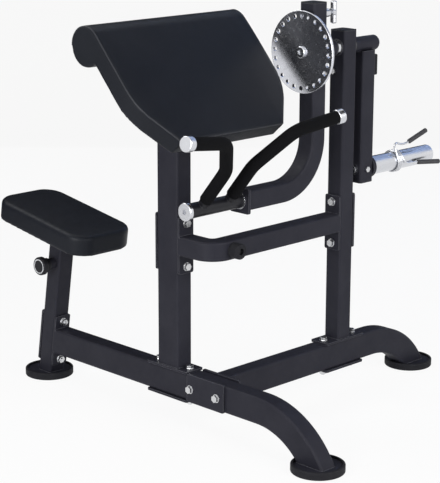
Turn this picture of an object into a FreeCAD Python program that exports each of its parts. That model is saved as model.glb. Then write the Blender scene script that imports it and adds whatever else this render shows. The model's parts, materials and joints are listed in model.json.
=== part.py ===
import FreeCAD, Part
import math
import os

# Plate-loaded preacher curl bench. Front is -Y, where the sitter looks, +X is the side of the weight arm.
# Pieces are placed from the crossing of the two base beams' centre lines on the floor, in millimetres,
# and the whole is then centred on its own box.

V = FreeCAD.Vector
X = V(1, 0, 0)
Y = V(0, 1, 0)
Z = V(0, 0, 1)
QUARTER = 90

# Clearances
FIT_CLEARANCE = 0.05        # round a piece that is fixed in a hole
RUN_CLEARANCE = 0.05        # round a shaft that turns or a pin that slides
END_GAP = 0.4               # between turning faces
SOFT_GAP = 0.3              # round a soft piece
OVERRUN = 30.0              # how far a cutting shape passes the cut piece

# Tubes
TUBE = 50.0                 # side of a square tube, and width of the base beams
TUBE_WALL = 3.0
TUBE_CORNER = 6.0
BEAM_HEIGHT = 70.0          # base beams
PAD_UPRIGHT_DEPTH = 75.0
CAP_LIP = 2.0               # plastic caps on open tube ends
CAP_PLUG = 18.0

# Base
BEAM_BOTTOM = 75.0          # underside of the base beams above the floor
LEG_RADIUS = 180.0          # underside of a leg's bend
FRONT_RUN = 177.0           # from the crossing to the front leg's bend
SIDE_LEG_ROOM = 124.0       # from the pivot upright to the side leg's bend
FOOT_DIAMETER = 133.0
FOOT_HEIGHT = 20.0
FOOT_SOLE = 9.0
FOOT_RIM = 6.0
FOOT_ROUND = 3.0
FOOT_PLATE = 5.0
FOOT_OFFSET = 7.0           # foot's centre past the middle of the leg's end

# Joint plates and bolts
PLATE = 6.0
PLATE_LENGTH = 148.0
PLATE_CORNER = 5.0
BASE_PLATE_WIDTH = 60.0
BOLT_SPACING = 112.0
CROSSING_FRONT = 72.0       # side plates at the crossing, forward and back of the cross beam's centre line
CROSSING_REAR = 60.0
CROSSING_RISE = 4.0         # side plates above the beam
CROSSING_SPACING = 94.0
BOLT = 10.0
HEAD_FLATS = 17.0
HEAD_HEIGHT = 7.0
NUT_HEIGHT = 9.0
BOLT_TAIL = 3.0
WASHER = 22.0
WASHER_THICKNESS = 2.0

# Uprights and the beam between them
PAD_UPRIGHT_Y = 136.5
PIVOT_HEIGHT = 938.0        # axis of the curl lever and weight arm
PIVOT_UPRIGHT_RISE = 45.0   # upright's top above that axis
UPPER_BEAM_DROP = 115.5     # beam's centre below the handle's axis
UPPER_BEAM_BEND = 36.0
SCREW_DROP = 63.0           # small screw below the pivot axis
SCREW_BACK = 10.0
SCREW = 8.0
SCREW_HEAD = 14.0
SCREW_HEAD_HEIGHT = 5.0
SCREW_BITE = 8.0            # screw past the tube wall it goes through
BOARD_BITE_SHARE = 0.8      # screw in a pad's board
BUMPER = 40.0
BUMPER_LENGTH = 28.0
BUMPER_ROUND = 4.0
BUMPER_BORE = 18.0
BUMPER_BORE_DEPTH = 12.0

# Arm pad, laid out from the centre of its roll
PAD_SLOPE_ANGLE = 48.0
ROLL_SETBACK = 39.0         # roll's centre behind the pad upright's centre
ROLL_RISE = 49.0            # roll's centre above the pivot axis
ROLL_RADIUS = 50.0
PAD_LENGTH = 320.0          # from the roll's centre to the front edge
PAD_WIDTH = 502.0
PAD_THICKNESS = 52.0
PAD_CHAMFER_WIDTH = 78.0
PAD_CHAMFER_LENGTH = 110.0
PAD_BEND = 157.0            # radius where a chamfer runs into the side
PAD_BEND_SHARES = (0.55, 0.78, 1.0)     # where the sections through that bend lie
PAD_CROWN = 3.5
PAD_EDGE = 4.0              # rounding of the sides
PAD_NOSE = 6.0              # rounding of the front edges
EDGE_DEPTH_SHARES = (1.0, 0.35, 0.0)    # how far in the side sections lie
EDGE_PLACE_SHARES = (0.0, 0.3, 1.0)     # how far from the side they stand
EDGE_CROWN_SHARE = 0.4                  # crown left at the sides
BOARD = 12.0                # plywood in the pads
ARM_BOARD_WIDTH = 300.0
ARM_BOARD_START = 72.0
ARM_BOARD_END = 285.0
PAD_PLATE_WIDTH = 180.0
PAD_PLATE_START = 66.0
PAD_PLATE_END = 262.0
PAD_SCREW_ROOM = 22.0       # screws in from the pad plate's edges
ROLL_CLEARANCE = 7.0        # upright's top below the roll
GUSSET_DROP = 82.0          # gusset under the pad plate, down the upright
GUSSET_REACH = 215.0        # and down the pad plate

# Seat
SEAT_LEAN_ANGLE = 9.0
SEAT_POST_Y = 642.6         # post's centre on its foot plate
SEAT_FOOT_OFFSET = 8.0
SEAT_POST_LENGTH = 406.0
BUSH_WALL = 2.0             # plastic bush in the top of the post
BUSH_FLANGE = 3.0
BUSH_DEPTH = 60.0
SLIDE_CLEARANCE = 0.15
SLIDE_WALL = 2.5
SLIDE_CORNER = 5.0
SLIDE_HOLES = 5
SLIDE_PITCH = 30.0
SEAT_PLATE = 5.0
SEAT_PLATE_WIDTH = 130.0
SEAT_PLATE_LENGTH = 200.0
SEAT_SCREW_ROOM = 18.0
SEAT_WIDTH = 202.0
SEAT_LENGTH = 364.0
SEAT_THICKNESS = 54.0
SEAT_CORNER = 57.0
SEAT_DRAW = 2.5             # how far the sides pull in between the corners
SEAT_CROWN_INSET = 72.0
SEAT_HEIGHT_SHARES = (0.0, 0.1, 0.68, 0.84, 0.93, 1.0)
SEAT_INSET_SHARES = (0.04, 0.0, 0.01, 0.06, 0.17, 1.0)
SEAT_BOARD_INSET = 14.0

# Pull pins: one locks the lever to the disc, one locks the seat
PIN = 10.0
PIN_COLLAR = 15.0
PIN_COLLAR_LENGTH = 3.0
PIN_CLEAR = 0.8             # tip drawn clear of what it locks
PIN_ROOM = 0.5              # round a pin in a tube's wall
BARREL = 22.0
BARREL_BORE = 16.2
BARREL_END = 4.0
PIN_REACH = 9.0             # pin inside its knob or handle
SPRING_WIRE = 1.2
SPRING_PITCH = 1.8
SPRING_TURNS = 5
SEAT_PIN_DROP = 81.0        # below the post's top
SEAT_PIN_TRAVEL = 8.0
SEAT_BARREL = 31.0
KNOB = 50.0
KNOB_THICKNESS = 16.0
KNOB_ROUND = 4.0
KNOB_GROOVE = 34.0
KNOB_GROOVE_WIDTH = 3.0
KNOB_GROOVE_DEPTH = 1.2
SKIRT_WALL = 2.5            # knob's skirt round the barrel
SKIRT_CLEARANCE = 0.4
SKIRT_OVERLAP = 5.0
LEVER_PIN_TRAVEL = 10.0
T_BAR = 16.0
T_BAR_LENGTH = 58.0
T_BOSS = 20.0
T_BOSS_LENGTH = 4.0

# Pivot: shaft, bushes, housings
SHAFT = 25.0
HOUSING_ROOM = 1.0          # round a housing inside its tube
HOUSING_WALL = 4.0
HOUSING_LIP = 2.0           # housing past the faces of its tube
FLANGE_BUSH_LENGTH = 20.0
FLANGE_BUSH_LIP = 3.0
SPACER_WALL = 7.5
END_SCREW = 30.0
END_SCREW_HEIGHT = 6.0
END_SCREW_ROUND = 2.5
END_SCREW_SOCKET = 12.0
END_SCREW_SHANK = 10.0
END_SCREW_LENGTH = 22.0
SOCKET_SHARE = 0.65         # depth of a socket, of its screw's head

# Index disc
DISC_RADIUS = 105.0
DISC_GAP = 64.0             # between the arm pad and the disc
DISC = 8.0
DISC_ROUND = 1.5
DISC_BOSS = 6.0
HOLE_CIRCLE = 92.0
HOLE_COUNT = 24
HOLE = 12.0

# Curl lever
LEVER_GAP = 66.6            # between the lever and the pivot upright
LEVER_RISE = 124.0
LEVER_DROP = 349.0
LEVER_BEND = 125.0
LEVER_HUB = 48.0            # hub past the lever on the upright's side
END_PLATE = 7.0
END_PLATE_SIDE = 65.0

# Handle
HANDLE_LEAN_ANGLE = 40.0
HANDLE_SHIFT = 3.6          # handle's middle from the bench's middle
HANDLE_SHAFT_ROOT = 30.0    # shaft inside the lever's foot
HANDLE_WASHER = 45.0
HANDLE_WASHER_THICKNESS = 3.0
HANDLE_CAP = 46.0
HANDLE_CAP_LENGTH = 10.0
HANDLE_CAP_ROUND = 2.5
SLEEVE = 38.0
SLEEVE_WALL = 3.0
SLEEVE_LENGTH = 176.0
BAR = 26.0
BAR_WALL = 2.0
BAR_STEM = 46.0             # stem's centre line from the handle's middle
BAR_STEM_LENGTH = 140.0
BAR_KNEE_OUT = 118.0
BAR_KNEE_UP = 254.0
BAR_END_OUT = 266.0
BAR_END_UP = 281.0
BAR_BEND = 60.0
GRIP = 33.0                 # foam over the bars
GRIP_GAP = 4.0              # foam's end above the sleeve
GRIP_CAP = 37.0
GRIP_CAP_LENGTH = 20.0
GRIP_CAP_WALL = 5.0
GRIP_CAP_ROUND = 2.5

# Weight arm
ARM_GAP = 27.0              # between the arm and the pivot upright
ARM_DROP = 369.0
ARM_HUB_WALL = 7.5
ARM_HUB_ROUND = 4.0
ARM_HUB_END = 22.0          # hub past the arm's outer face
ARM_SEAT_SHARE = 0.8        # how deep the hub sits in the arm's top, of its radius
BLOCK_DROP = 56.5
BLOCK_HEIGHT = 55.0
BLOCK_WIDTH = 40.0
BLOCK_THICKNESS = 13.0
BLOCK_ROUND = 4.0
HORN_DROP = 333.0
CORE = 28.0                 # bar through the arm
CORE_WALL = 4.0
CORE_END = 10.0
HORN = 50.0
HORN_WALL = 3.5
HORN_LENGTH = 250.0
HORN_PLUG = 8.0
HORN_ROUND = 2.0
HORN_FLANGE = 60.0
HORN_FLANGE_THICKNESS = 10.0

# Spring collar, laid out along the weight sleeve; angles turn from the front up
COLLAR_OFFSET = 94.0         # first turn from the flange
COLLAR_WIRE = 5.5
COLLAR_PITCH = 6.4
COLLAR_TURNS = 3
COLLAR_START_ANGLE = 24.0
COLLAR_RISE_LENGTH = 26.0          # first leg's straight run away from the turns
COLLAR_GRIP = 13.0
COLLAR_GRIP_LENGTH = 74.0
COLLAR_GRIP_ROUND = 3.0
COLLAR_TAIL = 4.0           # wire stops this far from a grip's end
UPPER_GRIP_ALONG = 62.0     # where each grip starts, from the first turn
UPPER_GRIP_OUT = 48.0
UPPER_GRIP_ANGLE = 78.0
UPPER_GRIP_LEAN_ANGLE = 20.0
LOWER_GRIP_ALONG = 75.0
LOWER_GRIP_OUT = 34.0
LOWER_GRIP_ANGLE = -14.0
LOWER_GRIP_LEAN_ANGLE = 16.0
GAP_STEP_SHARE = 0.3        # spacing of points when a wire's gap to itself is measured, of its thickness

# Worked out
BEAM_TOP = BEAM_BOTTOM + BEAM_HEIGHT
BEAM_MIDDLE = BEAM_BOTTOM + BEAM_HEIGHT / 2
FOOT_TOP = FOOT_SOLE + FOOT_PLATE
FACE = TUBE / 2             # a square tube's face from its centre line
PAD_FRONT = PAD_UPRIGHT_Y - PAD_UPRIGHT_DEPTH / 2
PAD_UNDER = ROLL_RADIUS - PAD_THICKNESS
PAD_HALF = PAD_WIDTH / 2
CHAMFER_START = PAD_HALF - PAD_CHAMFER_WIDTH
CHAMFER_TURN = math.atan2(PAD_CHAMFER_WIDTH, PAD_CHAMFER_LENGTH)
BEND_START = PAD_LENGTH - PAD_CHAMFER_LENGTH - PAD_BEND * math.tan(CHAMFER_TURN / 2)
ROLL_HEIGHT = PIVOT_HEIGHT + ROLL_RISE
UPRIGHT_FOOT = BEAM_TOP + PLATE
HOUSING = TUBE - 2 * TUBE_WALL - 2 * HOUSING_ROOM
HOUSING_BORE = HOUSING - 2 * HOUSING_WALL
DISC_FRONT = PAD_HALF + DISC_GAP
DISC_BACK = DISC_FRONT + DISC
HUB_START = DISC_BACK + DISC_BOSS + END_GAP + FLANGE_BUSH_LIP
LEVER_X = HUB_START + HOUSING_LIP + FACE
HUB_STOP = LEVER_X + FACE + LEVER_HUB
PIVOT_INNER = LEVER_X + FACE + LEVER_GAP
PIVOT_UPRIGHT_X = PIVOT_INNER + FACE
PIVOT_OUTER = PIVOT_UPRIGHT_X + FACE
SIDE_RUN = PIVOT_UPRIGHT_X + SIDE_LEG_ROOM
LEVER_TOP = PIVOT_HEIGHT + LEVER_RISE - CAP_LIP
FOOT_OF_LEVER = PIVOT_HEIGHT - LEVER_DROP
UPPER_BEAM_HEIGHT = FOOT_OF_LEVER - UPPER_BEAM_DROP
SLEEVE_LEFT = HANDLE_SHIFT - SLEEVE_LENGTH / 2
SLEEVE_RIGHT = HANDLE_SHIFT + SLEEVE_LENGTH / 2
WASHER_FACE = SLEEVE_RIGHT + END_GAP
LEVER_END = WASHER_FACE + HANDLE_WASHER_THICKNESS + END_PLATE
HANDLE_CENTRE = V(HANDLE_SHIFT, 0, FOOT_OF_LEVER)
ARM_X = PIVOT_OUTER + ARM_GAP + FACE
ARM_HUB = SHAFT + 2 * ARM_HUB_WALL
ARM_HUB_START = PIVOT_OUTER + HOUSING_LIP + FLANGE_BUSH_LIP + END_GAP
ARM_HUB_STOP = ARM_X + FACE + ARM_HUB_END
ARM_BOTTOM = PIVOT_HEIGHT - ARM_DROP + CAP_LIP
ARM_TOP = PIVOT_HEIGHT - ARM_SEAT_SHARE * ARM_HUB / 2
HORN_HEIGHT = PIVOT_HEIGHT - HORN_DROP
HORN_START = ARM_X + FACE + HORN_FLANGE_THICKNESS
HORN_STOP = HORN_START + HORN_LENGTH
SLIDE = TUBE - 2 * TUBE_WALL - 2 * BUSH_WALL - 2 * SLIDE_CLEARANCE
SEAT_REST = SEAT_POST_LENGTH + BUSH_FLANGE + END_GAP
SEAT_UNDER = SEAT_REST + SEAT_PLATE
SEAT_PIN_PLACE = SEAT_POST_LENGTH - SEAT_PIN_DROP
SPRING_ROOM = SPRING_TURNS * SPRING_PITCH + SPRING_WIRE
SPRING_RADIUS = (PIN + BARREL_BORE) / 4


# Shapes

def box(low, high):
    size = high - low
    return Part.makeBox(size.x, size.y, size.z, low)


def placed(shape, point, rotation):
    copy = shape.copy()
    copy.Placement = FreeCAD.Placement(point, rotation).multiply(shape.Placement)
    return copy


def along(shape, point, axis):
    """Puts a shape that was made on +Z on another axis."""
    return placed(shape, point, FreeCAD.Rotation(Z, axis))


def rod(point, axis, diameter, length):
    return along(Part.makeCylinder(diameter / 2, length), point, axis)


def ring(point, axis, outer, inner, length):
    return rod(point, axis, outer, length).cut(rod(point, axis, inner, length))


def hexagon(flats, height):
    corner = flats / 2 / math.cos(math.pi / 6)
    angles = [i * math.pi / 3 for i in range(7)]
    points = [V(corner * math.cos(angle), corner * math.sin(angle), 0) for angle in angles]
    return Part.Face(Part.makePolygon(points)).extrude(Z * height)


def rounded_wire(width, depth, corner, draw=0, height=0):
    """A rectangle with round corners, its sides drawn in by an arc if asked."""
    arcs = []
    for turn, (side_x, side_y) in enumerate(((1, 1), (-1, 1), (-1, -1), (1, -1))):
        centre = V(side_x * (width / 2 - corner), side_y * (depth / 2 - corner), height)
        arcs.append(Part.makeCircle(corner, centre, Z, QUARTER * turn, QUARTER * (turn + 1)))
    edges = []
    for arc, following in zip(arcs, arcs[1:] + arcs[:1]):
        start = arc.Vertexes[-1].Point
        stop = following.Vertexes[0].Point
        middle = (start + stop) / 2
        inward = V(-middle.x, -middle.y, 0).normalize()
        side = Part.Arc(start, middle + inward * draw, stop) if draw else Part.LineSegment(start, stop)
        edges += [arc, side.toShape()]
    return Part.Wire(edges)


def holed_face(outer, inner):
    return Part.makeFace([outer, inner], "Part::FaceMakerBullseye")


def tube_face(width, depth, wall, corner):
    inner = rounded_wire(width - 2 * wall, depth - 2 * wall, corner - wall)
    return holed_face(rounded_wire(width, depth, corner), inner)


def square_tube(length):
    return tube_face(TUBE, TUBE, TUBE_WALL, TUBE_CORNER).extrude(Z * length)


def oriented(shape, point, normal, up):
    """Puts a shape made on the XY plane at a point: its Z along normal, its Y along up."""
    return placed(shape, point, FreeCAD.Rotation(up.cross(normal), up, normal, "ZYX"))


def plate(point, normal, up, width, length, holes, hole=BOLT, thickness=PLATE):
    """A drilled plate with round corners and its back on point."""
    flat = Part.Face(rounded_wire(width, length, PLATE_CORNER)).extrude(Z * thickness)
    return drill(oriented(flat, point, normal, up), holes, normal, hole)


def pair(point, direction, spacing):
    return [point + direction * (spacing / 2), point - direction * (spacing / 2)]


def drill(shape, points, axis, diameter=BOLT):
    """Holes right through a shape."""
    reach = shape.BoundBox.DiagonalLength
    holes = [rod(p - axis * reach, axis, diameter + 2 * FIT_CLEARANCE, 2 * reach) for p in points]
    return shape.cut(Part.makeCompound(holes))


def bolt(point, axis, grip):
    """Bolt with washers and nut: point lies under the head's washer, axis runs to the nut."""
    length = grip + 2 * WASHER_THICKNESS + NUT_HEIGHT + BOLT_TAIL
    shank = Part.makeCylinder(BOLT / 2, length, V(0, 0, -WASHER_THICKNESS))
    head = hexagon(HEAD_FLATS, HEAD_HEIGHT).translated(V(0, 0, -WASHER_THICKNESS - HEAD_HEIGHT))
    washer = Part.makeCylinder(WASHER / 2, WASHER_THICKNESS, V(0, 0, -WASHER_THICKNESS))
    far_washer = Part.makeCylinder(WASHER / 2, WASHER_THICKNESS, V(0, 0, grip))
    nut = hexagon(HEAD_FLATS, NUT_HEIGHT).translated(V(0, 0, grip + WASHER_THICKNESS))
    return along(shank.fuse([head, washer, far_washer, nut]).removeSplitter(), point, axis)


def screw(point, axis, reach, shank=SCREW, head=SCREW_HEAD, height=SCREW_HEAD_HEIGHT):
    """Hexagon screw: point lies under the head, axis runs along the shank."""
    shape = Part.makeCylinder(shank / 2, reach).fuse(hexagon(head, height).translated(V(0, 0, -height)))
    return along(shape, point, axis)


def rounded_rod(diameter, length, rounding):
    """A rod on +Z with both rims rounded."""
    solid = Part.makeCylinder(diameter / 2, length)
    return solid.makeFillet(rounding, [e for e in solid.Edges if e.Closed])


def tilted(shape, angle, point):
    """Leans a shape about X and puts its origin on a point."""
    return placed(shape, point, FreeCAD.Rotation(X, angle))


def tangent_arc(start, corner, stop):
    """Arc from start to stop that touches the lines to their common corner."""
    middle = (start + stop) / 2
    half = (stop - start).Length / 2
    rise = corner - middle
    lean = math.atan2(rise.Length, half)
    return Part.Arc(start, middle + rise.normalize() * (half * math.tan(lean / 2)), stop).toShape()


def biarc(start, leaving, stop, arriving):
    """Two arcs that join two points in given directions."""
    span = stop - start
    both = leaving + arriving
    spread = 2 * (1 - leaving.dot(arriving))
    reach = (math.sqrt(span.dot(both) ** 2 + spread * span.dot(span)) - span.dot(both)) / spread
    first = start + leaving * reach
    second = stop - arriving * reach
    middle = (first + second) / 2
    return [tangent_arc(start, first, middle), tangent_arc(middle, second, stop)]


def winding(centre, axis, out, side, radius, pitch, start, turns):
    """Places and headings, a quarter turn apart, of a coil that goes round from out towards side."""
    slope = pitch / (2 * math.pi)
    places = []
    for quarter in range(4 * turns + 1):
        swept = quarter * math.pi / 2
        angle = math.radians(start) + swept
        radial = out * math.cos(angle) + side * math.sin(angle)
        around = side * math.cos(angle) - out * math.sin(angle)
        heading = (around * radius + axis * slope).normalize()
        places.append((centre + radial * radius + axis * (slope * swept), heading))
    return places


def joined(places):
    edges = []
    for (start, leaving), (stop, arriving) in zip(places, places[1:]):
        edges += biarc(start, leaving, stop, arriving)
    return edges


def rounded_path(points, radius):
    """Lines through points, with the corners rounded."""
    edges = []
    start = points[0]
    for before, corner, after in zip(points, points[1:], points[2:]):
        inward = (corner - before).normalize()
        outward = (after - corner).normalize()
        trim = radius * math.tan(inward.getAngle(outward) / 2)
        edges.append(Part.LineSegment(start, corner - inward * trim).toShape())
        start = corner + outward * trim
        edges.append(tangent_arc(corner - inward * trim, corner, start))
    edges.append(Part.LineSegment(start, points[-1]).toShape())
    return edges


def pipe(edges, diameter):
    first = edges[0]
    heading = first.tangentAt(first.FirstParameter)
    profile = Part.Wire(Part.makeCircle(diameter / 2, first.valueAt(first.FirstParameter), heading))
    return Part.Wire(edges).makePipeShell([profile], True, False)


def least_gap(edges, diameter):
    """Smallest gap between two stretches of a wound wire, measured on points."""
    step = diameter * GAP_STEP_SHARE
    points = Part.Wire(edges).discretize(Distance=step)
    apart = int(math.pi * diameter / step)
    gaps = [(p - q).Length for i, p in enumerate(points) for q in points[i + apart:]]
    return min(gaps) - diameter


def pierce(shape, point, axis, diameter):
    """A hole through one wall."""
    return shape.cut(rod(point - axis * OVERRUN, axis, diameter, 2 * OVERRUN))


def joint_plate(point, normal, up, width):
    return plate(point, normal, up, width, PLATE_LENGTH, pair(point, up, BOLT_SPACING))


def tube_cap(point, outward):
    """Plastic cap in the open end of a square tube, whose end has its centre on point."""
    side = TUBE - 2 * TUBE_WALL - 2 * FIT_CLEARANCE
    lid = Part.Face(rounded_wire(TUBE, TUBE, TUBE_CORNER)).extrude(Z * CAP_LIP)
    plug = tube_face(side, side, BUSH_WALL, TUBE_CORNER - TUBE_WALL).extrude(Z * -CAP_PLUG)
    return along(lid.fuse(plug), point, outward)


def flanged_bush(point, axis):
    """Bush whose flange stands before point and whose sleeve runs from it along axis."""
    sleeve = rod(point, axis, HOUSING_BORE - 2 * FIT_CLEARANCE, FLANGE_BUSH_LENGTH)
    flange = rod(point - axis * FLANGE_BUSH_LIP, axis, HOUSING, FLANGE_BUSH_LIP)
    bore = rod(point - axis * OVERRUN, axis, SHAFT + 2 * RUN_CLEARANCE, 2 * OVERRUN)
    return sleeve.fuse(flange).cut(bore)


def socket_screw(point, axis, head, height, rounding, shank, reach):
    """Round-headed screw with a hexagon socket: point lies under the head, axis runs along the shank."""
    top = Part.makeCylinder(head / 2, height)
    top = top.makeFillet(rounding, [e for e in top.Edges if e.Closed and e.CenterOfMass.z > height / 2])
    depth = height * SOCKET_SHARE
    socket = hexagon(END_SCREW_SOCKET, OVERRUN).translated(V(0, 0, height - depth))
    solid = top.fuse(Part.makeCylinder(shank / 2, reach, V(0, 0, -reach))).cut(socket)
    return along(solid, point, -axis)


# Base and uprights

LEG_CENTRE = BEAM_BOTTOM - LEG_RADIUS
LEG_FALL = FOOT_TOP - LEG_CENTRE
LEG_INNER = math.sqrt(LEG_RADIUS ** 2 - LEG_FALL ** 2)
LEG_OUTER = math.sqrt((LEG_RADIUS + BEAM_HEIGHT) ** 2 - LEG_FALL ** 2)
FOOT_RUN = (LEG_INNER + LEG_OUTER) / 2 + FOOT_OFFSET
FRONT_FOOT = V(0, -FRONT_RUN - FOOT_RUN, 0)
SIDE_FOOT = V(SIDE_RUN + FOOT_RUN, 0, 0)
SEAT_FOOT = V(0, SEAT_POST_Y + SEAT_FOOT_OFFSET, 0)
UPRIGHT_TOP = ROLL_HEIGHT - ROLL_RADIUS - ROLL_CLEARANCE
PIN_HEIGHT = PIVOT_HEIGHT + HOLE_CIRCLE
LEAN = math.radians(SEAT_LEAN_ANGLE)
REAR_PLATE_PLACE = (BEAM_MIDDLE - FOOT_TOP + FACE * math.sin(LEAN)) / math.cos(LEAN)
REAR_JOINT = V(0, -FACE, REAR_PLATE_PLACE)
PAD_BOLTS = pair(V(0, PAD_UPRIGHT_Y, 0), Y, BOLT_SPACING)
PIVOT_BOLTS = pair(V(PIVOT_UPRIGHT_X, 0, 0), X, BOLT_SPACING)
CROSSING_BOLTS = pair(V(0, 0, BEAM_MIDDLE), Y, CROSSING_SPACING)
PAD_JOINT = V(0, PAD_FRONT, UPPER_BEAM_HEIGHT)
PIVOT_JOINT = V(PIVOT_INNER, 0, UPPER_BEAM_HEIGHT)
PIVOT = V(PIVOT_UPRIGHT_X, 0, PIVOT_HEIGHT)
UPRIGHT_SCREW = V(PIVOT_INNER, SCREW_BACK, PIVOT_HEIGHT - SCREW_DROP)
BUMPER_PLACE = V(HANDLE_SHIFT + BAR_STEM, -FACE, UPPER_BEAM_HEIGHT)
BUMPER_SEAT = BUMPER_LENGTH - BUMPER_BORE_DEPTH


def in_seat(shape):
    return tilted(shape, SEAT_LEAN_ANGLE, V(0, SEAT_POST_Y, FOOT_TOP))


def in_pad(shape):
    return tilted(shape, PAD_SLOPE_ANGLE, V(0, PAD_UPRIGHT_Y + ROLL_SETBACK, ROLL_HEIGHT))


def in_handle(shape):
    return tilted(shape, HANDLE_LEAN_ANGLE, HANDLE_CENTRE)


def beam_section(point, direction):
    """Section of a base beam, square inside."""
    inside = Part.makePlane(TUBE - 2 * TUBE_WALL, BEAM_HEIGHT - 2 * TUBE_WALL)
    inside.translate(V(TUBE_WALL - TUBE / 2, TUBE_WALL - BEAM_HEIGHT / 2, 0))
    section = holed_face(rounded_wire(TUBE, BEAM_HEIGHT, TUBE_CORNER), inside.OuterWire)
    return oriented(section, point, direction, Z)


def square_section(point, direction, up):
    return oriented(tube_face(TUBE, TUBE, TUBE_WALL, TUBE_CORNER), point, direction, up)


def foot_plate(point):
    radius = FOOT_DIAMETER / 2 - FOOT_RIM - SOFT_GAP
    return Part.makeCylinder(radius, FOOT_PLATE, point + Z * FOOT_SOLE)


def leg():
    """Bent end of a base beam with its foot plate: the beam comes from +Y and the bend starts at Y 0."""
    bend = beam_section(V(0, 0, BEAM_MIDDLE), -Y).revolve(V(0, 0, LEG_CENTRE), X, QUARTER)
    reach = LEG_RADIUS + BEAM_HEIGHT + OVERRUN
    below = box(V(-TUBE, -reach, LEG_CENTRE - OVERRUN), V(TUBE, OVERRUN, FOOT_TOP))
    return bend.cut(below).fuse(foot_plate(V(0, -FOOT_RUN, 0)))


def crossing_plate(side):
    """Plate on one side of the main beam where the two base beams cross."""
    point = V(side * FACE, (CROSSING_REAR - CROSSING_FRONT) / 2, BEAM_MIDDLE + CROSSING_RISE / 2)
    length = CROSSING_FRONT + CROSSING_REAR
    return plate(point, X * side, Y, BEAM_HEIGHT + CROSSING_RISE, length, CROSSING_BOLTS)


def main_beam():
    straight = beam_section(V(0, -FRONT_RUN, BEAM_MIDDLE), Y).extrude(Y * (FRONT_RUN + SEAT_POST_Y))
    behind = box(V(-TUBE, -FACE - PLATE, -PLATE_LENGTH), V(TUBE, PLATE_LENGTH, 2 * PLATE_LENGTH))
    beam = straight.cut(in_seat(behind)).fuse(leg().translated(V(0, -FRONT_RUN, 0)))
    beam = drill(drill(beam, PAD_BOLTS, Z), CROSSING_BOLTS, X)
    return beam.fuse(in_seat(joint_plate(REAR_JOINT, -Y, Z, TUBE)))


def cross_base_beam():
    start = FACE + PLATE
    straight = beam_section(V(start, 0, BEAM_MIDDLE), X).extrude(X * (SIDE_RUN - start))
    bent = leg().rotated(V(), Z, QUARTER).translated(V(SIDE_RUN, 0, 0))
    return drill(straight.fuse(bent), PIVOT_BOLTS, Z).fuse(crossing_plate(1))


def gusset():
    """Rib under the pad plate, in the pad's own frame turned upright."""
    top = in_pad(Part.Vertex(0, -PAD_PLATE_START, PAD_UNDER - PLATE)).Point
    tip = in_pad(Part.Vertex(0, -GUSSET_REACH, PAD_UNDER - PLATE)).Point
    slope = (tip.z - top.z) / (tip.y - top.y)
    root = V(0, PAD_FRONT, top.z + slope * (PAD_FRONT - top.y))
    outline = Part.makePolygon([root, tip, root - Z * GUSSET_DROP, root])
    return Part.Face(outline).extrude(X * PLATE).translated(X * (-PLATE / 2))


def pad_plate_screws():
    across = PAD_PLATE_WIDTH / 2 - PAD_SCREW_ROOM
    places = (PAD_PLATE_START + PAD_SCREW_ROOM, PAD_PLATE_END - PAD_SCREW_ROOM)
    return [V(side * across, -place, PAD_UNDER - PLATE) for side in (1, -1) for place in places]


def pad_upright():
    height = UPRIGHT_TOP - UPRIGHT_FOOT
    tube = tube_face(TUBE, PAD_UPRIGHT_DEPTH, TUBE_WALL, TUBE_CORNER).extrude(Z * height)
    lid = Part.Face(rounded_wire(TUBE, PAD_UPRIGHT_DEPTH, TUBE_CORNER)).extrude(Z * -TUBE_WALL)
    column = tube.fuse(lid.translated(Z * height)).translated(V(0, PAD_UPRIGHT_Y, UPRIGHT_FOOT))
    column = drill(column, pair(PAD_JOINT, Z, BOLT_SPACING), Y)
    above = box(V(-TUBE, -PAD_LENGTH, PAD_UNDER - PLATE), V(TUBE, PAD_LENGTH, PAD_LENGTH))
    middle = V(0, -(PAD_PLATE_START + PAD_PLATE_END) / 2, PAD_UNDER - PLATE)
    length = PAD_PLATE_END - PAD_PLATE_START
    shelf = in_pad(plate(middle, Z, Y, PAD_PLATE_WIDTH, length, pad_plate_screws(), SCREW))
    base = joint_plate(V(0, PAD_UPRIGHT_Y, BEAM_TOP), Z, Y, BASE_PLATE_WIDTH)
    return column.cut(in_pad(above)).fuse([gusset(), shelf, base])


def bearing_housing(start, stop):
    return rod(V(start, 0, PIVOT_HEIGHT), X, HOUSING, stop - start)


def pivot_bore(start, stop, diameter):
    return rod(V(start - OVERRUN, 0, PIVOT_HEIGHT), X, diameter, stop - start + 2 * OVERRUN)


def pivot_upright():
    start = PIVOT_INNER - HOUSING_LIP
    stop = PIVOT_OUTER + HOUSING_LIP
    height = PIVOT_HEIGHT + PIVOT_UPRIGHT_RISE - CAP_LIP - UPRIGHT_FOOT
    column = square_tube(height).translated(V(PIVOT_UPRIGHT_X, 0, UPRIGHT_FOOT))
    column = drill(column, pair(PIVOT_JOINT, Z, BOLT_SPACING), X)
    column = pierce(column, UPRIGHT_SCREW, X, SCREW + 2 * FIT_CLEARANCE)
    base = joint_plate(V(PIVOT_UPRIGHT_X, 0, BEAM_TOP), Z, X, BASE_PLATE_WIDTH)
    welded = column.fuse([bearing_housing(start, stop), base])
    return welded.cut(pivot_bore(start, stop, HOUSING_BORE))


def upper_cross_beam():
    bend = UPPER_BEAM_BEND
    front = PAD_FRONT - PLATE
    stop = PIVOT_INNER - PLATE
    level = Z * UPPER_BEAM_HEIGHT
    first = square_section(level + Y * front, -Y, Z).extrude(Y * (bend - front))
    corner = square_section(level + Y * bend, -Y, Z).revolve(level + X * bend + Y * bend, Z, QUARTER)
    second = square_section(level + X * bend, X, Z).extrude(X * (stop - bend))
    beam = pierce(first.fuse([corner, second]), BUMPER_PLACE, Y, SCREW + 2 * FIT_CLEARANCE)
    plates = [joint_plate(PAD_JOINT, -Y, Z, TUBE), joint_plate(PIVOT_JOINT, -X, Z, TUBE)]
    return beam.fuse(plates)


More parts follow.
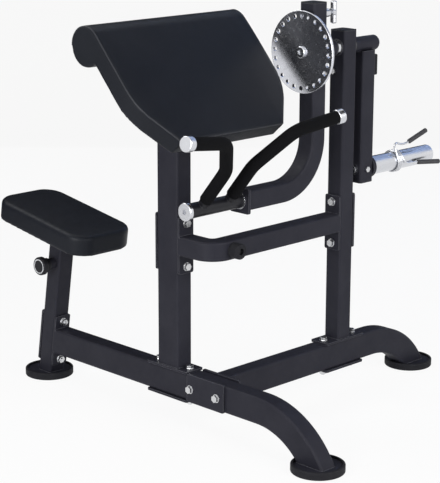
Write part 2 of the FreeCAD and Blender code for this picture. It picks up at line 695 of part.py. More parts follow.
def foot(point):
    cup = rounded_rod(FOOT_DIAMETER, FOOT_HEIGHT, FOOT_ROUND)
    recess = Part.makeCylinder(FOOT_DIAMETER / 2 - FOOT_RIM, FOOT_HEIGHT, V(0, 0, FOOT_SOLE))
    return cup.cut(recess).translated(point)


def bolt_set(points, axis, grip):
    return Part.makeCompound([bolt(p, axis, grip) for p in points])


def crossing_bolts():
    return bolt_set([p - X * (FACE + PLATE) for p in CROSSING_BOLTS], X, TUBE + 2 * PLATE)


def upright_bolts():
    return bolt_set([p + Z * UPRIGHT_FOOT for p in PAD_BOLTS + PIVOT_BOLTS], -Z, BEAM_HEIGHT + 2 * PLATE)


def upper_beam_bolts():
    at_pad = [p - Y * PLATE for p in pair(PAD_JOINT, Z, BOLT_SPACING)]
    at_pivot = [p - X * PLATE for p in pair(PIVOT_JOINT, Z, BOLT_SPACING)]
    return Part.makeCompound([bolt_set(at_pad, Y, PAD_UPRIGHT_DEPTH + 2 * PLATE),
                              bolt_set(at_pivot, X, TUBE + 2 * PLATE)])


def seat_post_bolts():
    points = [p + Y * (TUBE + PLATE) for p in pair(REAR_JOINT, Z, BOLT_SPACING)]
    return in_seat(bolt_set(points, -Y, TUBE + 2 * PLATE))


def upright_clamp_plates():
    at_pad = joint_plate(V(0, PAD_UPRIGHT_Y, BEAM_BOTTOM), -Z, Y, BASE_PLATE_WIDTH)
    at_pivot = joint_plate(V(PIVOT_UPRIGHT_X, 0, BEAM_BOTTOM), -Z, X, BASE_PLATE_WIDTH)
    return Part.makeCompound([at_pad, at_pivot])


def backing_plates():
    at_pad = joint_plate(PAD_JOINT + Y * PAD_UPRIGHT_DEPTH, Y, Z, TUBE)
    at_pivot = joint_plate(PIVOT_JOINT + X * TUBE, X, Z, TUBE)
    at_seat = in_seat(joint_plate(REAR_JOINT + Y * TUBE, Y, Z, TUBE))
    return Part.makeCompound([at_pad, at_pivot, at_seat])


def pivot_bearings():
    inner = flanged_bush(PIVOT - X * (FACE + HOUSING_LIP), X)
    outer = flanged_bush(PIVOT + X * (FACE + HOUSING_LIP), -X)
    return Part.makeCompound([inner, outer])


def handle_bumper():
    solid = Part.makeCylinder(BUMPER / 2, BUMPER_LENGTH)
    solid = solid.makeFillet(BUMPER_ROUND, [e for e in solid.Edges if e.Closed and e.CenterOfMass.z > 0])
    solid = solid.cut(Part.makeCylinder(BUMPER_BORE / 2, BUMPER_LENGTH, V(0, 0, BUMPER_SEAT)))
    return along(solid.cut(Part.makeCylinder(SCREW / 2 + FIT_CLEARANCE, BUMPER_LENGTH)), BUMPER_PLACE, -Y)


def bumper_screw():
    return screw(BUMPER_PLACE - Y * BUMPER_SEAT, Y, BUMPER_SEAT + TUBE_WALL + SCREW_BITE)


def upright_screw():
    return screw(UPRIGHT_SCREW, X, TUBE_WALL + SCREW_BITE)


# Arm pad

def pad_point(x, down, up):
    return V(x, -down, up)


def pad_tip(x):
    """How far the bed reaches down the slope: full length, then a chamfer, then a bend into the side."""
    out = abs(x)
    if out <= CHAMFER_START:
        return PAD_LENGTH
    if out <= bend_place(1):
        return PAD_LENGTH - (out - CHAMFER_START) * PAD_CHAMFER_LENGTH / PAD_CHAMFER_WIDTH
    return BEND_START + math.sqrt(PAD_BEND ** 2 - (out - PAD_HALF + PAD_BEND) ** 2)


def bend_place(share):
    """Place across the pad on the bend between its side and a chamfer."""
    return PAD_HALF - PAD_BEND * (1 - math.cos(CHAMFER_TURN * share))


def pad_section(x, inset, crown):
    """Outline of the cushion across the slope: sloped bed in front, roll behind."""
    tip = pad_tip(x) - inset
    edge = tip - PAD_NOSE
    radius = ROLL_RADIUS - inset
    low = PAD_UNDER + SOFT_GAP + inset
    notch = math.sqrt(radius ** 2 - low ** 2)
    diagonal = math.sqrt(1 / 2)
    under = math.atan2(low, notch)
    dip = (under - math.pi / 2) / 2
    short = PAD_NOSE * diagonal
    slant = radius * diagonal
    brow = radius - PAD_NOSE
    chin = low + PAD_NOSE
    top = pad_point(x, edge / 2, radius + crown)
    bed = Part.Arc(pad_point(x, 0, radius), top, pad_point(x, edge, radius))
    upper_edge = Part.Arc(bed.EndPoint, pad_point(x, edge + short, brow + short), pad_point(x, tip, brow))
    face = Part.LineSegment(upper_edge.EndPoint, pad_point(x, tip, chin))
    lower_edge = Part.Arc(face.EndPoint, pad_point(x, edge + short, chin - short), pad_point(x, edge, low))
    underside = Part.LineSegment(lower_edge.EndPoint, pad_point(x, notch, low))
    front = Part.Arc(underside.EndPoint, pad_point(x, radius * math.cos(dip), radius * math.sin(dip)),
                     pad_point(x, 0, -radius))
    lower = Part.Arc(front.EndPoint, pad_point(x, -slant, -slant), pad_point(x, -radius, 0))
    upper = Part.Arc(lower.EndPoint, pad_point(x, -slant, slant), bed.StartPoint)
    curves = (bed, upper_edge, face, lower_edge, underside, front, lower, upper)
    return Part.Wire([curve.toShape() for curve in curves])


def arm_board(grown):
    """The board, or with some growth the pocket it lies in."""
    length = ARM_BOARD_END - ARM_BOARD_START
    outline = rounded_wire(ARM_BOARD_WIDTH + 2 * grown, length + 2 * grown, PLATE_CORNER)
    flat = Part.Face(outline).extrude(Z * (BOARD + grown))
    return flat.translated(V(0, -(ARM_BOARD_START + ARM_BOARD_END) / 2, PAD_UNDER))


def arm_pad():
    ends = [(PAD_HALF - PAD_EDGE * place, PAD_EDGE * depth, PAD_CROWN * EDGE_CROWN_SHARE)
            for place, depth in zip(EDGE_PLACE_SHARES, EDGE_DEPTH_SHARES)]
    ends += [(bend_place(share), 0, PAD_CROWN * EDGE_CROWN_SHARE) for share in PAD_BEND_SHARES]
    ends.append((CHAMFER_START, 0, PAD_CROWN))
    right = [pad_section(*station) for station in ends]
    left = [pad_section(-x, inset, crown) for x, inset, crown in ends]
    cushion = Part.makeLoft(right + left[::-1], True, True)
    return in_pad(cushion.cut(arm_board(SOFT_GAP)))


def arm_pad_board():
    return in_pad(drill(arm_board(0), pad_plate_screws(), Z, SCREW))


def arm_pad_screws():
    reach = PLATE + BOARD * BOARD_BITE_SHARE
    return in_pad(Part.makeCompound([screw(p, Z, reach) for p in pad_plate_screws()]))


# Seat

def seat_post():
    tube = square_tube(SEAT_POST_LENGTH + OVERRUN).translated(Z * -OVERRUN)
    tube = drill(tube, pair(REAR_JOINT, Z, BOLT_SPACING), Y)
    tube = pierce(tube, V(-FACE, 0, SEAT_PIN_PLACE), X, PIN + 2 * PIN_ROOM)
    below = box(V(-TUBE, SEAT_POST_Y - 2 * TUBE, -2 * TUBE), V(TUBE, SEAT_POST_Y + 2 * TUBE, FOOT_TOP))
    return in_seat(tube).cut(below).fuse(foot_plate(SEAT_FOOT))


def seat_post_bush():
    outer = TUBE - 2 * TUBE_WALL - 2 * FIT_CLEARANCE
    inner = SLIDE + 2 * SLIDE_CLEARANCE
    mouth = rounded_wire(inner, inner, SLIDE_CORNER + SLIDE_CLEARANCE)
    sleeve = holed_face(rounded_wire(outer, outer, TUBE_CORNER - TUBE_WALL), mouth).extrude(Z * -BUSH_DEPTH)
    flange = holed_face(rounded_wire(TUBE, TUBE, TUBE_CORNER), mouth).extrude(Z * BUSH_FLANGE)
    return in_seat(sleeve.fuse(flange).translated(Z * SEAT_POST_LENGTH))


def seat_screw_places():
    across = SEAT_PLATE_WIDTH / 2 - SEAT_SCREW_ROOM
    ahead = SEAT_PLATE_LENGTH / 2 - SEAT_SCREW_ROOM
    return [V(i * across, j * ahead, SEAT_REST) for i in (1, -1) for j in (1, -1)]


def seat_slide():
    start = REAR_PLATE_PLACE + BOLT_SPACING / 2 + BOLT
    tube = tube_face(SLIDE, SLIDE, SLIDE_WALL, SLIDE_CORNER).extrude(Z * (SEAT_REST - start))
    tube = tube.translated(Z * start)
    for hole in range(SLIDE_HOLES):
        tube = pierce(tube, V(-FACE, 0, SEAT_PIN_PLACE - hole * SLIDE_PITCH), X, PIN + 2 * PIN_ROOM)
    top = plate(V(0, 0, SEAT_REST), Z, Y, SEAT_PLATE_WIDTH, SEAT_PLATE_LENGTH, seat_screw_places(), SCREW,
                SEAT_PLATE)
    return in_seat(tube.fuse(top))


def seat_plan(inset, draw, height):
    corner = SEAT_CORNER - inset * (SEAT_CORNER / SEAT_WIDTH)
    corner = min(corner, SEAT_WIDTH / 2 - inset - draw)
    return rounded_wire(SEAT_WIDTH - 2 * inset, SEAT_LENGTH - 2 * inset, corner, draw, height)


def seat_board_blank(grown):
    """The board, or with some growth the pocket it lies in."""
    inset = SEAT_BOARD_INSET - grown
    corner = SEAT_CORNER - SEAT_BOARD_INSET
    outline = rounded_wire(SEAT_WIDTH - 2 * inset, SEAT_LENGTH - 2 * inset, corner)
    return Part.Face(outline).extrude(Z * (BOARD + grown)).translated(Z * SEAT_UNDER)


def seat_board():
    return in_seat(drill(seat_board_blank(0), seat_screw_places(), Z, SCREW))


def seat_screws():
    reach = SEAT_PLATE + BOARD * BOARD_BITE_SHARE
    return in_seat(Part.makeCompound([screw(p, Z, reach) for p in seat_screw_places()]))


def seat_pad():
    rise = SEAT_THICKNESS - SOFT_GAP
    bottom = SEAT_UNDER + SOFT_GAP
    levels = [seat_plan(SEAT_CROWN_INSET * inset, SEAT_DRAW, bottom + rise * height)
              for height, inset in zip(SEAT_HEIGHT_SHARES, SEAT_INSET_SHARES)]
    cushion = Part.makeLoft(levels, True, True)
    return in_seat(cushion.cut(seat_board_blank(SOFT_GAP)))


# Pull pins, made on +Z: Z 0 is the face of the tube and the knob is up

def collar_place(travel):
    return travel + END_GAP


def spring_place(travel):
    return collar_place(travel) + PIN_COLLAR_LENGTH + END_GAP


def barrel_length(travel):
    return spring_place(travel) + SPRING_ROOM + END_GAP + BARREL_END


def knob_place(travel):
    return barrel_length(travel) + travel + END_GAP


def pin_barrel(travel, diameter):
    length = barrel_length(travel)
    bore = Part.makeCylinder(BARREL_BORE / 2, length - BARREL_END)
    neck = Part.makeCylinder(PIN / 2 + RUN_CLEARANCE, length)
    return Part.makeCylinder(diameter / 2, length).cut(bore.fuse(neck))


def plunger(travel, tip):
    """The pin, whose tip reaches into the tube."""
    stem = Part.makeCylinder(PIN / 2, tip + knob_place(travel) + PIN_REACH, V(0, 0, -tip))
    return stem.fuse(Part.makeCylinder(PIN_COLLAR / 2, PIN_COLLAR_LENGTH, V(0, 0, collar_place(travel))))


def spring_path(travel):
    centre = V(0, 0, spring_place(travel) + SPRING_WIRE / 2)
    return joined(winding(centre, Z, X, Y, SPRING_RADIUS, SPRING_PITCH, 0, SPRING_TURNS))


def pin_bore(travel):
    return Part.makeCylinder(PIN / 2 + FIT_CLEARANCE, PIN_REACH, V(0, 0, knob_place(travel)))


def knob():
    """Round knob with a ring groove in its face and a skirt that slides over the barrel."""
    disc = rounded_rod(KNOB, KNOB_THICKNESS, KNOB_ROUND)
    groove = Part.makeCylinder(KNOB_GROOVE / 2 + KNOB_GROOVE_WIDTH, KNOB_GROOVE_DEPTH)
    groove = groove.cut(Part.makeCylinder(KNOB_GROOVE / 2, KNOB_GROOVE_DEPTH))
    disc = disc.cut(groove.translated(Z * (KNOB_THICKNESS - KNOB_GROOVE_DEPTH)))
    inner = SEAT_BARREL + 2 * SKIRT_CLEARANCE
    reach = SEAT_PIN_TRAVEL + END_GAP + SKIRT_OVERLAP
    disc = disc.fuse(ring(Z * -reach, Z, inner + 2 * SKIRT_WALL, inner, reach))
    return disc.translated(Z * knob_place(SEAT_PIN_TRAVEL)).cut(pin_bore(SEAT_PIN_TRAVEL))


def t_handle():
    middle = T_BOSS_LENGTH + T_BAR / 2
    boss = Part.makeCylinder(T_BOSS / 2, middle)
    bar = along(rounded_rod(T_BAR, T_BAR_LENGTH, T_BAR / 4), V(-T_BAR_LENGTH / 2, 0, middle), X)
    return boss.fuse(bar).translated(Z * knob_place(LEVER_PIN_TRAVEL)).cut(pin_bore(LEVER_PIN_TRAVEL))


def at_seat_pin(shape):
    return in_seat(oriented(shape, V(-FACE, 0, SEAT_PIN_PLACE), -X, Y))


def at_lever_pin(shape):
    return oriented(shape, V(LEVER_X + FACE, 0, PIN_HEIGHT), X, Y)


# Pivot, lever and handle

def pivot_shaft():
    return rod(V(DISC_FRONT, 0, PIVOT_HEIGHT), X, SHAFT, ARM_HUB_STOP - DISC_FRONT)


def shaft_end_screws():
    sizes = (END_SCREW, END_SCREW_HEIGHT, END_SCREW_ROUND, END_SCREW_SHANK, END_SCREW_LENGTH)
    near = socket_screw(V(DISC_FRONT, 0, PIVOT_HEIGHT), X, *sizes)
    far = socket_screw(V(ARM_HUB_STOP, 0, PIVOT_HEIGHT), -X, *sizes)
    return Part.makeCompound([near, far])


def threaded(shape, ends):
    """Holes for end screws."""
    holes = [rod(point, axis, END_SCREW_SHANK + 2 * FIT_CLEARANCE, END_SCREW_LENGTH + END_GAP)
             for point, axis in ends]
    return shape.cut(Part.makeCompound(holes))


def index_disc():
    disc = rounded_rod(2 * DISC_RADIUS, DISC, DISC_ROUND)
    disc = disc.fuse(Part.makeCylinder(ARM_HUB / 2, DISC + DISC_BOSS))
    holes = [Part.makeCylinder(SHAFT / 2 + FIT_CLEARANCE, DISC + DISC_BOSS)]
    for hole in range(HOLE_COUNT):
        angle = 2 * math.pi * hole / HOLE_COUNT
        place = V(HOLE_CIRCLE * math.cos(angle), HOLE_CIRCLE * math.sin(angle), 0)
        holes.append(Part.makeCylinder(HOLE / 2, DISC, place))
    return oriented(disc.cut(Part.makeCompound(holes)), V(DISC_FRONT, 0, PIVOT_HEIGHT), X, Z)


def shaft_spacer():
    start = HUB_STOP + FLANGE_BUSH_LIP + END_GAP
    stop = PIVOT_INNER - HOUSING_LIP - FLANGE_BUSH_LIP - END_GAP
    inner = SHAFT + 2 * FIT_CLEARANCE
    return ring(V(start, 0, PIVOT_HEIGHT), X, SHAFT + 2 * SPACER_WALL, inner, stop - start)


def curl_lever():
    knee = FOOT_OF_LEVER + LEVER_BEND
    turn = V(LEVER_X - LEVER_BEND, 0, knee)
    upper = square_tube(LEVER_TOP - knee).translated(V(LEVER_X, 0, knee))
    bend = square_section(V(LEVER_X, 0, knee), -Z, Y).revolve(turn, Y, QUARTER)
    lower = square_section(V(turn.x, 0, FOOT_OF_LEVER), -X, Z).extrude(X * (LEVER_END - turn.x))
    side = END_PLATE_SIDE
    flat = Part.Face(rounded_wire(side, side, PLATE_CORNER)).extrude(Z * END_PLATE)
    end = oriented(flat, V(LEVER_END, 0, FOOT_OF_LEVER), -X, Z)
    end = pierce(end, V(LEVER_END, 0, FOOT_OF_LEVER), X, SHAFT + 2 * FIT_CLEARANCE)
    tube = upper.fuse([bend, lower])
    for wall in (-FACE, FACE):
        tube = pierce(tube, V(LEVER_X + wall, 0, PIN_HEIGHT), X, PIN + 2 * PIN_ROOM)
    welded = tube.fuse([bearing_housing(HUB_START, HUB_STOP), end])
    return welded.cut(pivot_bore(HUB_START, HUB_STOP, HOUSING_BORE))


def lever_bushes():
    near = flanged_bush(V(HUB_START, 0, PIVOT_HEIGHT), X)
    far = flanged_bush(V(HUB_STOP, 0, PIVOT_HEIGHT), -X)
    return Part.makeCompound([near, far])


def handle_shaft():
    start = SLEEVE_LEFT - END_GAP
    shaft = rod(V(start, 0, FOOT_OF_LEVER), X, SHAFT, LEVER_END + HANDLE_SHAFT_ROOT - start)
    return threaded(shaft, [(V(start, 0, FOOT_OF_LEVER), X)])


def handle_washer():
    inner = SHAFT + 2 * FIT_CLEARANCE
    return ring(V(WASHER_FACE, 0, FOOT_OF_LEVER), X, HANDLE_WASHER, inner, HANDLE_WASHER_THICKNESS)


def handle_end_cap():
    return socket_screw(V(SLEEVE_LEFT - END_GAP, 0, FOOT_OF_LEVER), X, HANDLE_CAP, HANDLE_CAP_LENGTH,
                        HANDLE_CAP_ROUND, END_SCREW_SHANK, END_SCREW_LENGTH)


def bar_points(side, end_gap):
    """Centre line of one bar, which stops short of its outer end."""
    knee = V(side * BAR_KNEE_OUT, 0, BAR_KNEE_UP)
    tip = V(side * BAR_END_OUT, 0, BAR_END_UP)
    stem = V(side * BAR_STEM, 0, BAR_STEM_LENGTH)
    root = V(side * BAR_STEM, 0, SLEEVE / 2 - SLEEVE_WALL)
    return [root, stem, knee, tip - (tip - knee).normalize() * end_gap]


def grip_axis(side):
    """Outer end of a bar and the direction back along it."""
    points = bar_points(side, 0)
    return points[-1], (points[-2] - points[-1]).normalize()


def handle():
    half = SLEEVE_LENGTH / 2
    sleeve = rod(X * -half, X, SLEEVE, SLEEVE_LENGTH)
    paths = [rounded_path(bar_points(side, GRIP_CAP_WALL), BAR_BEND) for side in (1, -1)]
    bars = [pipe(path, BAR).cut(pipe(path, BAR - 2 * BAR_WALL)) for path in paths]
    bore = rod(X * (-half - OVERRUN), X, SLEEVE - 2 * SLEEVE_WALL, SLEEVE_LENGTH + 2 * OVERRUN)
    return in_handle(sleeve.fuse(bars).cut(bore))


def handle_bushes():
    outer = SLEEVE - 2 * SLEEVE_WALL - 2 * FIT_CLEARANCE
    inner = SHAFT + 2 * RUN_CLEARANCE
    starts = (-SLEEVE_LENGTH / 2, SLEEVE_LENGTH / 2 - FLANGE_BUSH_LENGTH)
    rings = [ring(X * start, X, outer, inner, FLANGE_BUSH_LENGTH) for start in starts]
    return in_handle(Part.makeCompound(rings))


def hand_grip(side):
    """Foam over a bar, from just above the sleeve to the chrome cap."""
    points = bar_points(side, GRIP_CAP_LENGTH + END_GAP)
    points[0] = V(side * BAR_STEM, 0, SLEEVE / 2 + GRIP_GAP)
    path = rounded_path(points, BAR_BEND)
    return in_handle(pipe(path, GRIP).cut(pipe(path, BAR + 2 * SOFT_GAP)))


def grip_caps():
    caps = []
    for side in (1, -1):
        tip, back = grip_axis(side)
        cap = rounded_rod(GRIP_CAP, GRIP_CAP_LENGTH, GRIP_CAP_ROUND)
        cap = cap.cut(Part.makeCylinder(BAR / 2 + FIT_CLEARANCE, GRIP_CAP_LENGTH, V(0, 0, GRIP_CAP_WALL)))
        caps.append(along(cap, tip, back))
    return in_handle(Part.makeCompound(caps))


# Weight arm, horn and spring collar

HORN_PLACE = V(ARM_X, 0, HORN_HEIGHT)
COLLAR_RADIUS = HORN / 2 + END_GAP + COLLAR_WIRE / 2
COLLAR_ORIGIN = V(HORN_START + COLLAR_OFFSET, 0, HORN_HEIGHT)


def weight_arm():
    tube = square_tube(ARM_TOP - ARM_BOTTOM).translated(V(ARM_X, 0, ARM_BOTTOM))
    tube = drill(drill(tube, [HORN_PLACE], X, CORE), [HORN_PLACE], Y, SCREW)
    hub = rounded_rod(ARM_HUB, ARM_HUB_STOP - ARM_HUB_START, ARM_HUB_ROUND)
    hub = along(hub, V(ARM_HUB_START, 0, PIVOT_HEIGHT), X)
    bore = pivot_bore(ARM_HUB_START, ARM_HUB_STOP, SHAFT + 2 * FIT_CLEARANCE)
    return tube.fuse(hub).cut(bore)


def arm_buffer():
    flat = Part.Face(rounded_wire(BLOCK_WIDTH, BLOCK_HEIGHT, BLOCK_ROUND)).extrude(Z * BLOCK_THICKNESS)
    return oriented(flat, V(ARM_X + FACE, 0, PIVOT_HEIGHT - BLOCK_DROP), X, Z)


def horn_core():
    start = ARM_X - FACE - CORE_END
    stop = HORN_STOP - HORN_PLUG - END_GAP
    tube = ring(V(start, 0, HORN_HEIGHT), X, CORE, CORE - 2 * CORE_WALL, stop - start)
    return drill(tube, [HORN_PLACE], Y, SCREW)


def horn_flange():
    inner = CORE + 2 * FIT_CLEARANCE
    return ring(V(ARM_X + FACE, 0, HORN_HEIGHT), X, HORN_FLANGE, inner, HORN_FLANGE_THICKNESS)


def weight_horn():
    sleeve = rounded_rod(HORN, HORN_LENGTH, HORN_ROUND)
    inside = Part.makeCylinder(HORN / 2 - HORN_WALL, HORN_LENGTH - 2 * HORN_PLUG, V(0, 0, HORN_PLUG))
    bore = Part.makeCylinder(CORE / 2 + FIT_CLEARANCE, HORN_LENGTH - HORN_PLUG)
    return along(sleeve.cut(inside.fuse(bore)), V(HORN_START, 0, HORN_HEIGHT), X)


def horn_bolt():
    nut = hexagon(SCREW_HEAD, NUT_HEIGHT)
    body = screw(V(), Z, TUBE + NUT_HEIGHT).fuse(nut.translated(Z * TUBE))
    return along(body, HORN_PLACE - Y * FACE, Y)


def collar_grip_start(place, out, angle, tilt):
    """Where a grip of the collar starts, and its direction."""
    turn = math.radians(angle)
    lean = math.radians(tilt)
    radial = Z * math.sin(turn) - Y * math.cos(turn)
    return COLLAR_ORIGIN + X * place + radial * out, X * math.cos(lean) + radial * math.sin(lean)


UPPER_GRIP = collar_grip_start(UPPER_GRIP_ALONG, UPPER_GRIP_OUT, UPPER_GRIP_ANGLE, UPPER_GRIP_LEAN_ANGLE)
LOWER_GRIP = collar_grip_start(LOWER_GRIP_ALONG, LOWER_GRIP_OUT, LOWER_GRIP_ANGLE, LOWER_GRIP_LEAN_ANGLE)
COLLAR_WIRE_IN_GRIP = COLLAR_GRIP_LENGTH - COLLAR_TAIL


def collar_path():
    """One wire: down the upper leg, round the turns, out along the lower leg."""
    turns = winding(COLLAR_ORIGIN, X, -Y, -Z, COLLAR_RADIUS, COLLAR_PITCH, -COLLAR_START_ANGLE,
                    COLLAR_TURNS)
    first, leaving = turns[0]
    last, ending = turns[-1]
    lifted = first - leaving * COLLAR_RISE_LENGTH
    upper, upper_out = UPPER_GRIP
    lower, lower_out = LOWER_GRIP
    edges = [Part.LineSegment(upper + upper_out * COLLAR_WIRE_IN_GRIP, upper).toShape()]
    edges += biarc(upper, -upper_out, lifted, leaving)
    edges.append(Part.LineSegment(lifted, first).toShape())
    edges += joined(turns) + biarc(last, ending, lower, lower_out)
    edges.append(Part.LineSegment(lower, lower + lower_out * COLLAR_WIRE_IN_GRIP).toShape())
    return edges


def collar_grips():
    sleeves = []
    for start, out in (UPPER_GRIP, LOWER_GRIP):
        sleeve = rounded_rod(COLLAR_GRIP, COLLAR_GRIP_LENGTH, COLLAR_GRIP_ROUND)
        hole = Part.makeCylinder(COLLAR_WIRE / 2 + FIT_CLEARANCE, COLLAR_WIRE_IN_GRIP + END_GAP)
        sleeves.append(along(sleeve.cut(hole), start, out))
    return Part.makeCompound(sleeves)


COLLAR_PATH = collar_path()
SEAT_PIN_TIP = FACE - SLIDE / 2 - PIN_CLEAR
LEVER_PIN_TIP = LEVER_X + FACE - DISC_BACK - PIN_CLEAR

nodes = {
    "main_beam": main_beam(),
    "cross_base_beam": cross_base_beam(),
    "crossing_clamp_plate": crossing_plate(-1),
    "crossing_bolts": crossing_bolts(),
    "front_foot": foot(FRONT_FOOT),
    "side_foot": foot(SIDE_FOOT),
    "seat_foot": foot(SEAT_FOOT),
    "pad_upright": pad_upright(),
    "pivot_upright": pivot_upright(),
    "pivot_upright_cap": tube_cap(PIVOT + Z * (PIVOT_UPRIGHT_RISE - CAP_LIP), Z),
    "pivot_bearings": pivot_bearings(),
    "upright_clamp_plates": upright_clamp_plates(),
    "upright_bolts": upright_bolts(),
    "upright_screw": upright_screw(),
    "upper_cross_beam": upper_cross_beam(),
    "upper_beam_bolts": upper_beam_bolts(),
    "backing_plates": backing_plates(),
    "handle_bumper": handle_bumper(),
    "bumper_screw": bumper_screw(),
    "arm_pad": arm_pad(),
    "arm_pad_board": arm_pad_board(),
    "arm_pad_screws": arm_pad_screws(),
    "seat_post": seat_post(),
    "seat_post_bolts": seat_post_bolts(),
    "seat_post_bush": seat_post_bush(),
    "seat_pin_housing": at_seat_pin(pin_barrel(SEAT_PIN_TRAVEL, SEAT_BARREL)),
    "seat_pin": at_seat_pin(plunger(SEAT_PIN_TRAVEL, SEAT_PIN_TIP)),
    "seat_pin_spring": at_seat_pin(pipe(spring_path(SEAT_PIN_TRAVEL), SPRING_WIRE)),
    "seat_knob": at_seat_pin(knob()),
    "seat_slide": seat_slide(),
    "seat_board": seat_board(),
    "seat_screws": seat_screws(),
    "seat_pad": seat_pad(),
    "pivot_shaft": threaded(pivot_shaft(), [(V(DISC_FRONT, 0, PIVOT_HEIGHT), X),
                                            (V(ARM_HUB_STOP, 0, PIVOT_HEIGHT), -X)]),
    "shaft_end_screws": shaft_end_screws(),
    "shaft_spacer": shaft_spacer(),
    "index_disc": index_disc(),
    "weight_arm": weight_arm(),
    "weight_arm_cap": tube_cap(V(ARM_X, 0, ARM_BOTTOM), -Z),
    "arm_buffer": arm_buffer(),
    "horn_core": horn_core(),
    "horn_flange": horn_flange(),
    "horn_bolt": horn_bolt(),
    "weight_horn": weight_horn(),
    "collar_spring": pipe(COLLAR_PATH, COLLAR_WIRE),
    "collar_grips": collar_grips(),
    "curl_lever": curl_lever(),
    "lever_bushes": lever_bushes(),
    "lever_top_cap": tube_cap(V(LEVER_X, 0, LEVER_TOP), Z),
    "pull_pin_housing": at_lever_pin(pin_barrel(LEVER_PIN_TRAVEL, BARREL)),
    "pull_pin": at_lever_pin(plunger(LEVER_PIN_TRAVEL, LEVER_PIN_TIP)),
    "pull_pin_spring": at_lever_pin(pipe(spring_path(LEVER_PIN_TRAVEL), SPRING_WIRE)),
    "pull_pin_handle": at_lever_pin(t_handle()),
    "handle_shaft": handle_shaft(),
    "handle_washer": handle_washer(),
    "handle_end_cap": handle_end_cap(),
    "handle": handle(),
    "handle_bushes": handle_bushes(),
    "hand_grips": Part.makeCompound([hand_grip(side) for side in (1, -1)]),
    "grip_caps": grip_caps(),
}

whole = Part.makeCompound(list(nodes.values())).optimalBoundingBox(False, False)
shift = V(-whole.Center.x, -whole.Center.y, -whole.ZMin)
os.makedirs("parts", exist_ok=True)
for name, shape in nodes.items():
    shape.translated(shift).exportStep("parts/" + name + ".step")
    print(name, "valid" if shape.isValid() else "NOT VALID", len(shape.Solids), round(shape.Volume))
print("nodes", len(nodes), "shift", tuple(round(value, 4) for value in shift))
print("size", round(whole.XLength, 2), round(whole.YLength, 2), round(whole.ZLength, 2))
print("least gap of the collar's wire to itself", round(least_gap(COLLAR_PATH, COLLAR_WIRE), 2))
spring_gap = least_gap(spring_path(SEAT_PIN_TRAVEL), SPRING_WIRE)
print("least gap of a pin's spring to itself", round(spring_gap, 2))
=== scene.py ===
import json
import math

import bmesh
import bpy
import numpy
from mathutils import Matrix, Quaternion, Vector
from mathutils.bvhtree import BVHTree

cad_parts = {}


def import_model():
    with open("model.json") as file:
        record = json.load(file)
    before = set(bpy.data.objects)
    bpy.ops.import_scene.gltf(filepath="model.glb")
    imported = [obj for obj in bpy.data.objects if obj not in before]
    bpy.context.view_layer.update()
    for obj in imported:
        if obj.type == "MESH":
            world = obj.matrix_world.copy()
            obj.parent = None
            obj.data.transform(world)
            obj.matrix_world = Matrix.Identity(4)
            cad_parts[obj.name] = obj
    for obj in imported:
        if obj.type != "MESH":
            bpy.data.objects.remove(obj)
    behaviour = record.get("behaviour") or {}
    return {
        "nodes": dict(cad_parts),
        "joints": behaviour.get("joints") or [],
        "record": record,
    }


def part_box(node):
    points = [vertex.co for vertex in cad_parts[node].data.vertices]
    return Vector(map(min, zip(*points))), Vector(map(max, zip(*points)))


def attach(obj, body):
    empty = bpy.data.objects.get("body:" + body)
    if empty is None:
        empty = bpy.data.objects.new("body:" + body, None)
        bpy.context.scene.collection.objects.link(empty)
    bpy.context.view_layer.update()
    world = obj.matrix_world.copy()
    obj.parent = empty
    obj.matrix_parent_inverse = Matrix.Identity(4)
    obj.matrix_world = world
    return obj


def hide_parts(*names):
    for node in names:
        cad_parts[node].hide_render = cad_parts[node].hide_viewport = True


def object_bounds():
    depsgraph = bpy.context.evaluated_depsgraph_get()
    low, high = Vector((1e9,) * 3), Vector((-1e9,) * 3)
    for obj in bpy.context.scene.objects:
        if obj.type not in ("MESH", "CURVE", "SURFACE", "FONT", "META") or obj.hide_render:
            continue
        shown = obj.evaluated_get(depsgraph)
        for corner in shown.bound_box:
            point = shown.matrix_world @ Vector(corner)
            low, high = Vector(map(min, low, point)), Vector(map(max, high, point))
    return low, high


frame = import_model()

# Preacher curl bench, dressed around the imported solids. Lengths are in metres, angles in degrees.

cad_low, cad_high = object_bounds()

# Places read from the frame
JOINTS = {joint["name"]: joint for joint in frame["joints"]}
PIVOT = Vector(JOINTS["arm_swing"]["pos_m"])
HANDLE_AXIS = Vector(JOINTS["handle_turn"]["pos_m"])
PIVOT_UPRIGHT_X = 0.476
ORIGIN = Vector((PIVOT.x - PIVOT_UPRIGHT_X, PIVOT.y, 0))    # on the floor, where the beams cross

# Camera, from the fit to the photograph
CAMERA_PLACE = Vector((-2.8042, -2.8551, 1.5205))
CAMERA_YAW = 44.76
CAMERA_PITCH = 14.31
CAMERA_ROLL = 0.155
CAMERA_SENSOR = 36.0
CAMERA_LENS = 124.8
CAMERA_CLIP = 100.0

# Light
WORLD_FILL = 0.21
LAMP_SIZE = 2.2
LAMPS = {                   # place and power
    "key": ((-3.9, -0.9, 1.1), 98.0),
    "side": ((0.1, -3.5, 1.8), 84.0),
    "back": ((-1.5, 3.1, 4.0), 70.0),   # for the sides that the photograph does not show
}

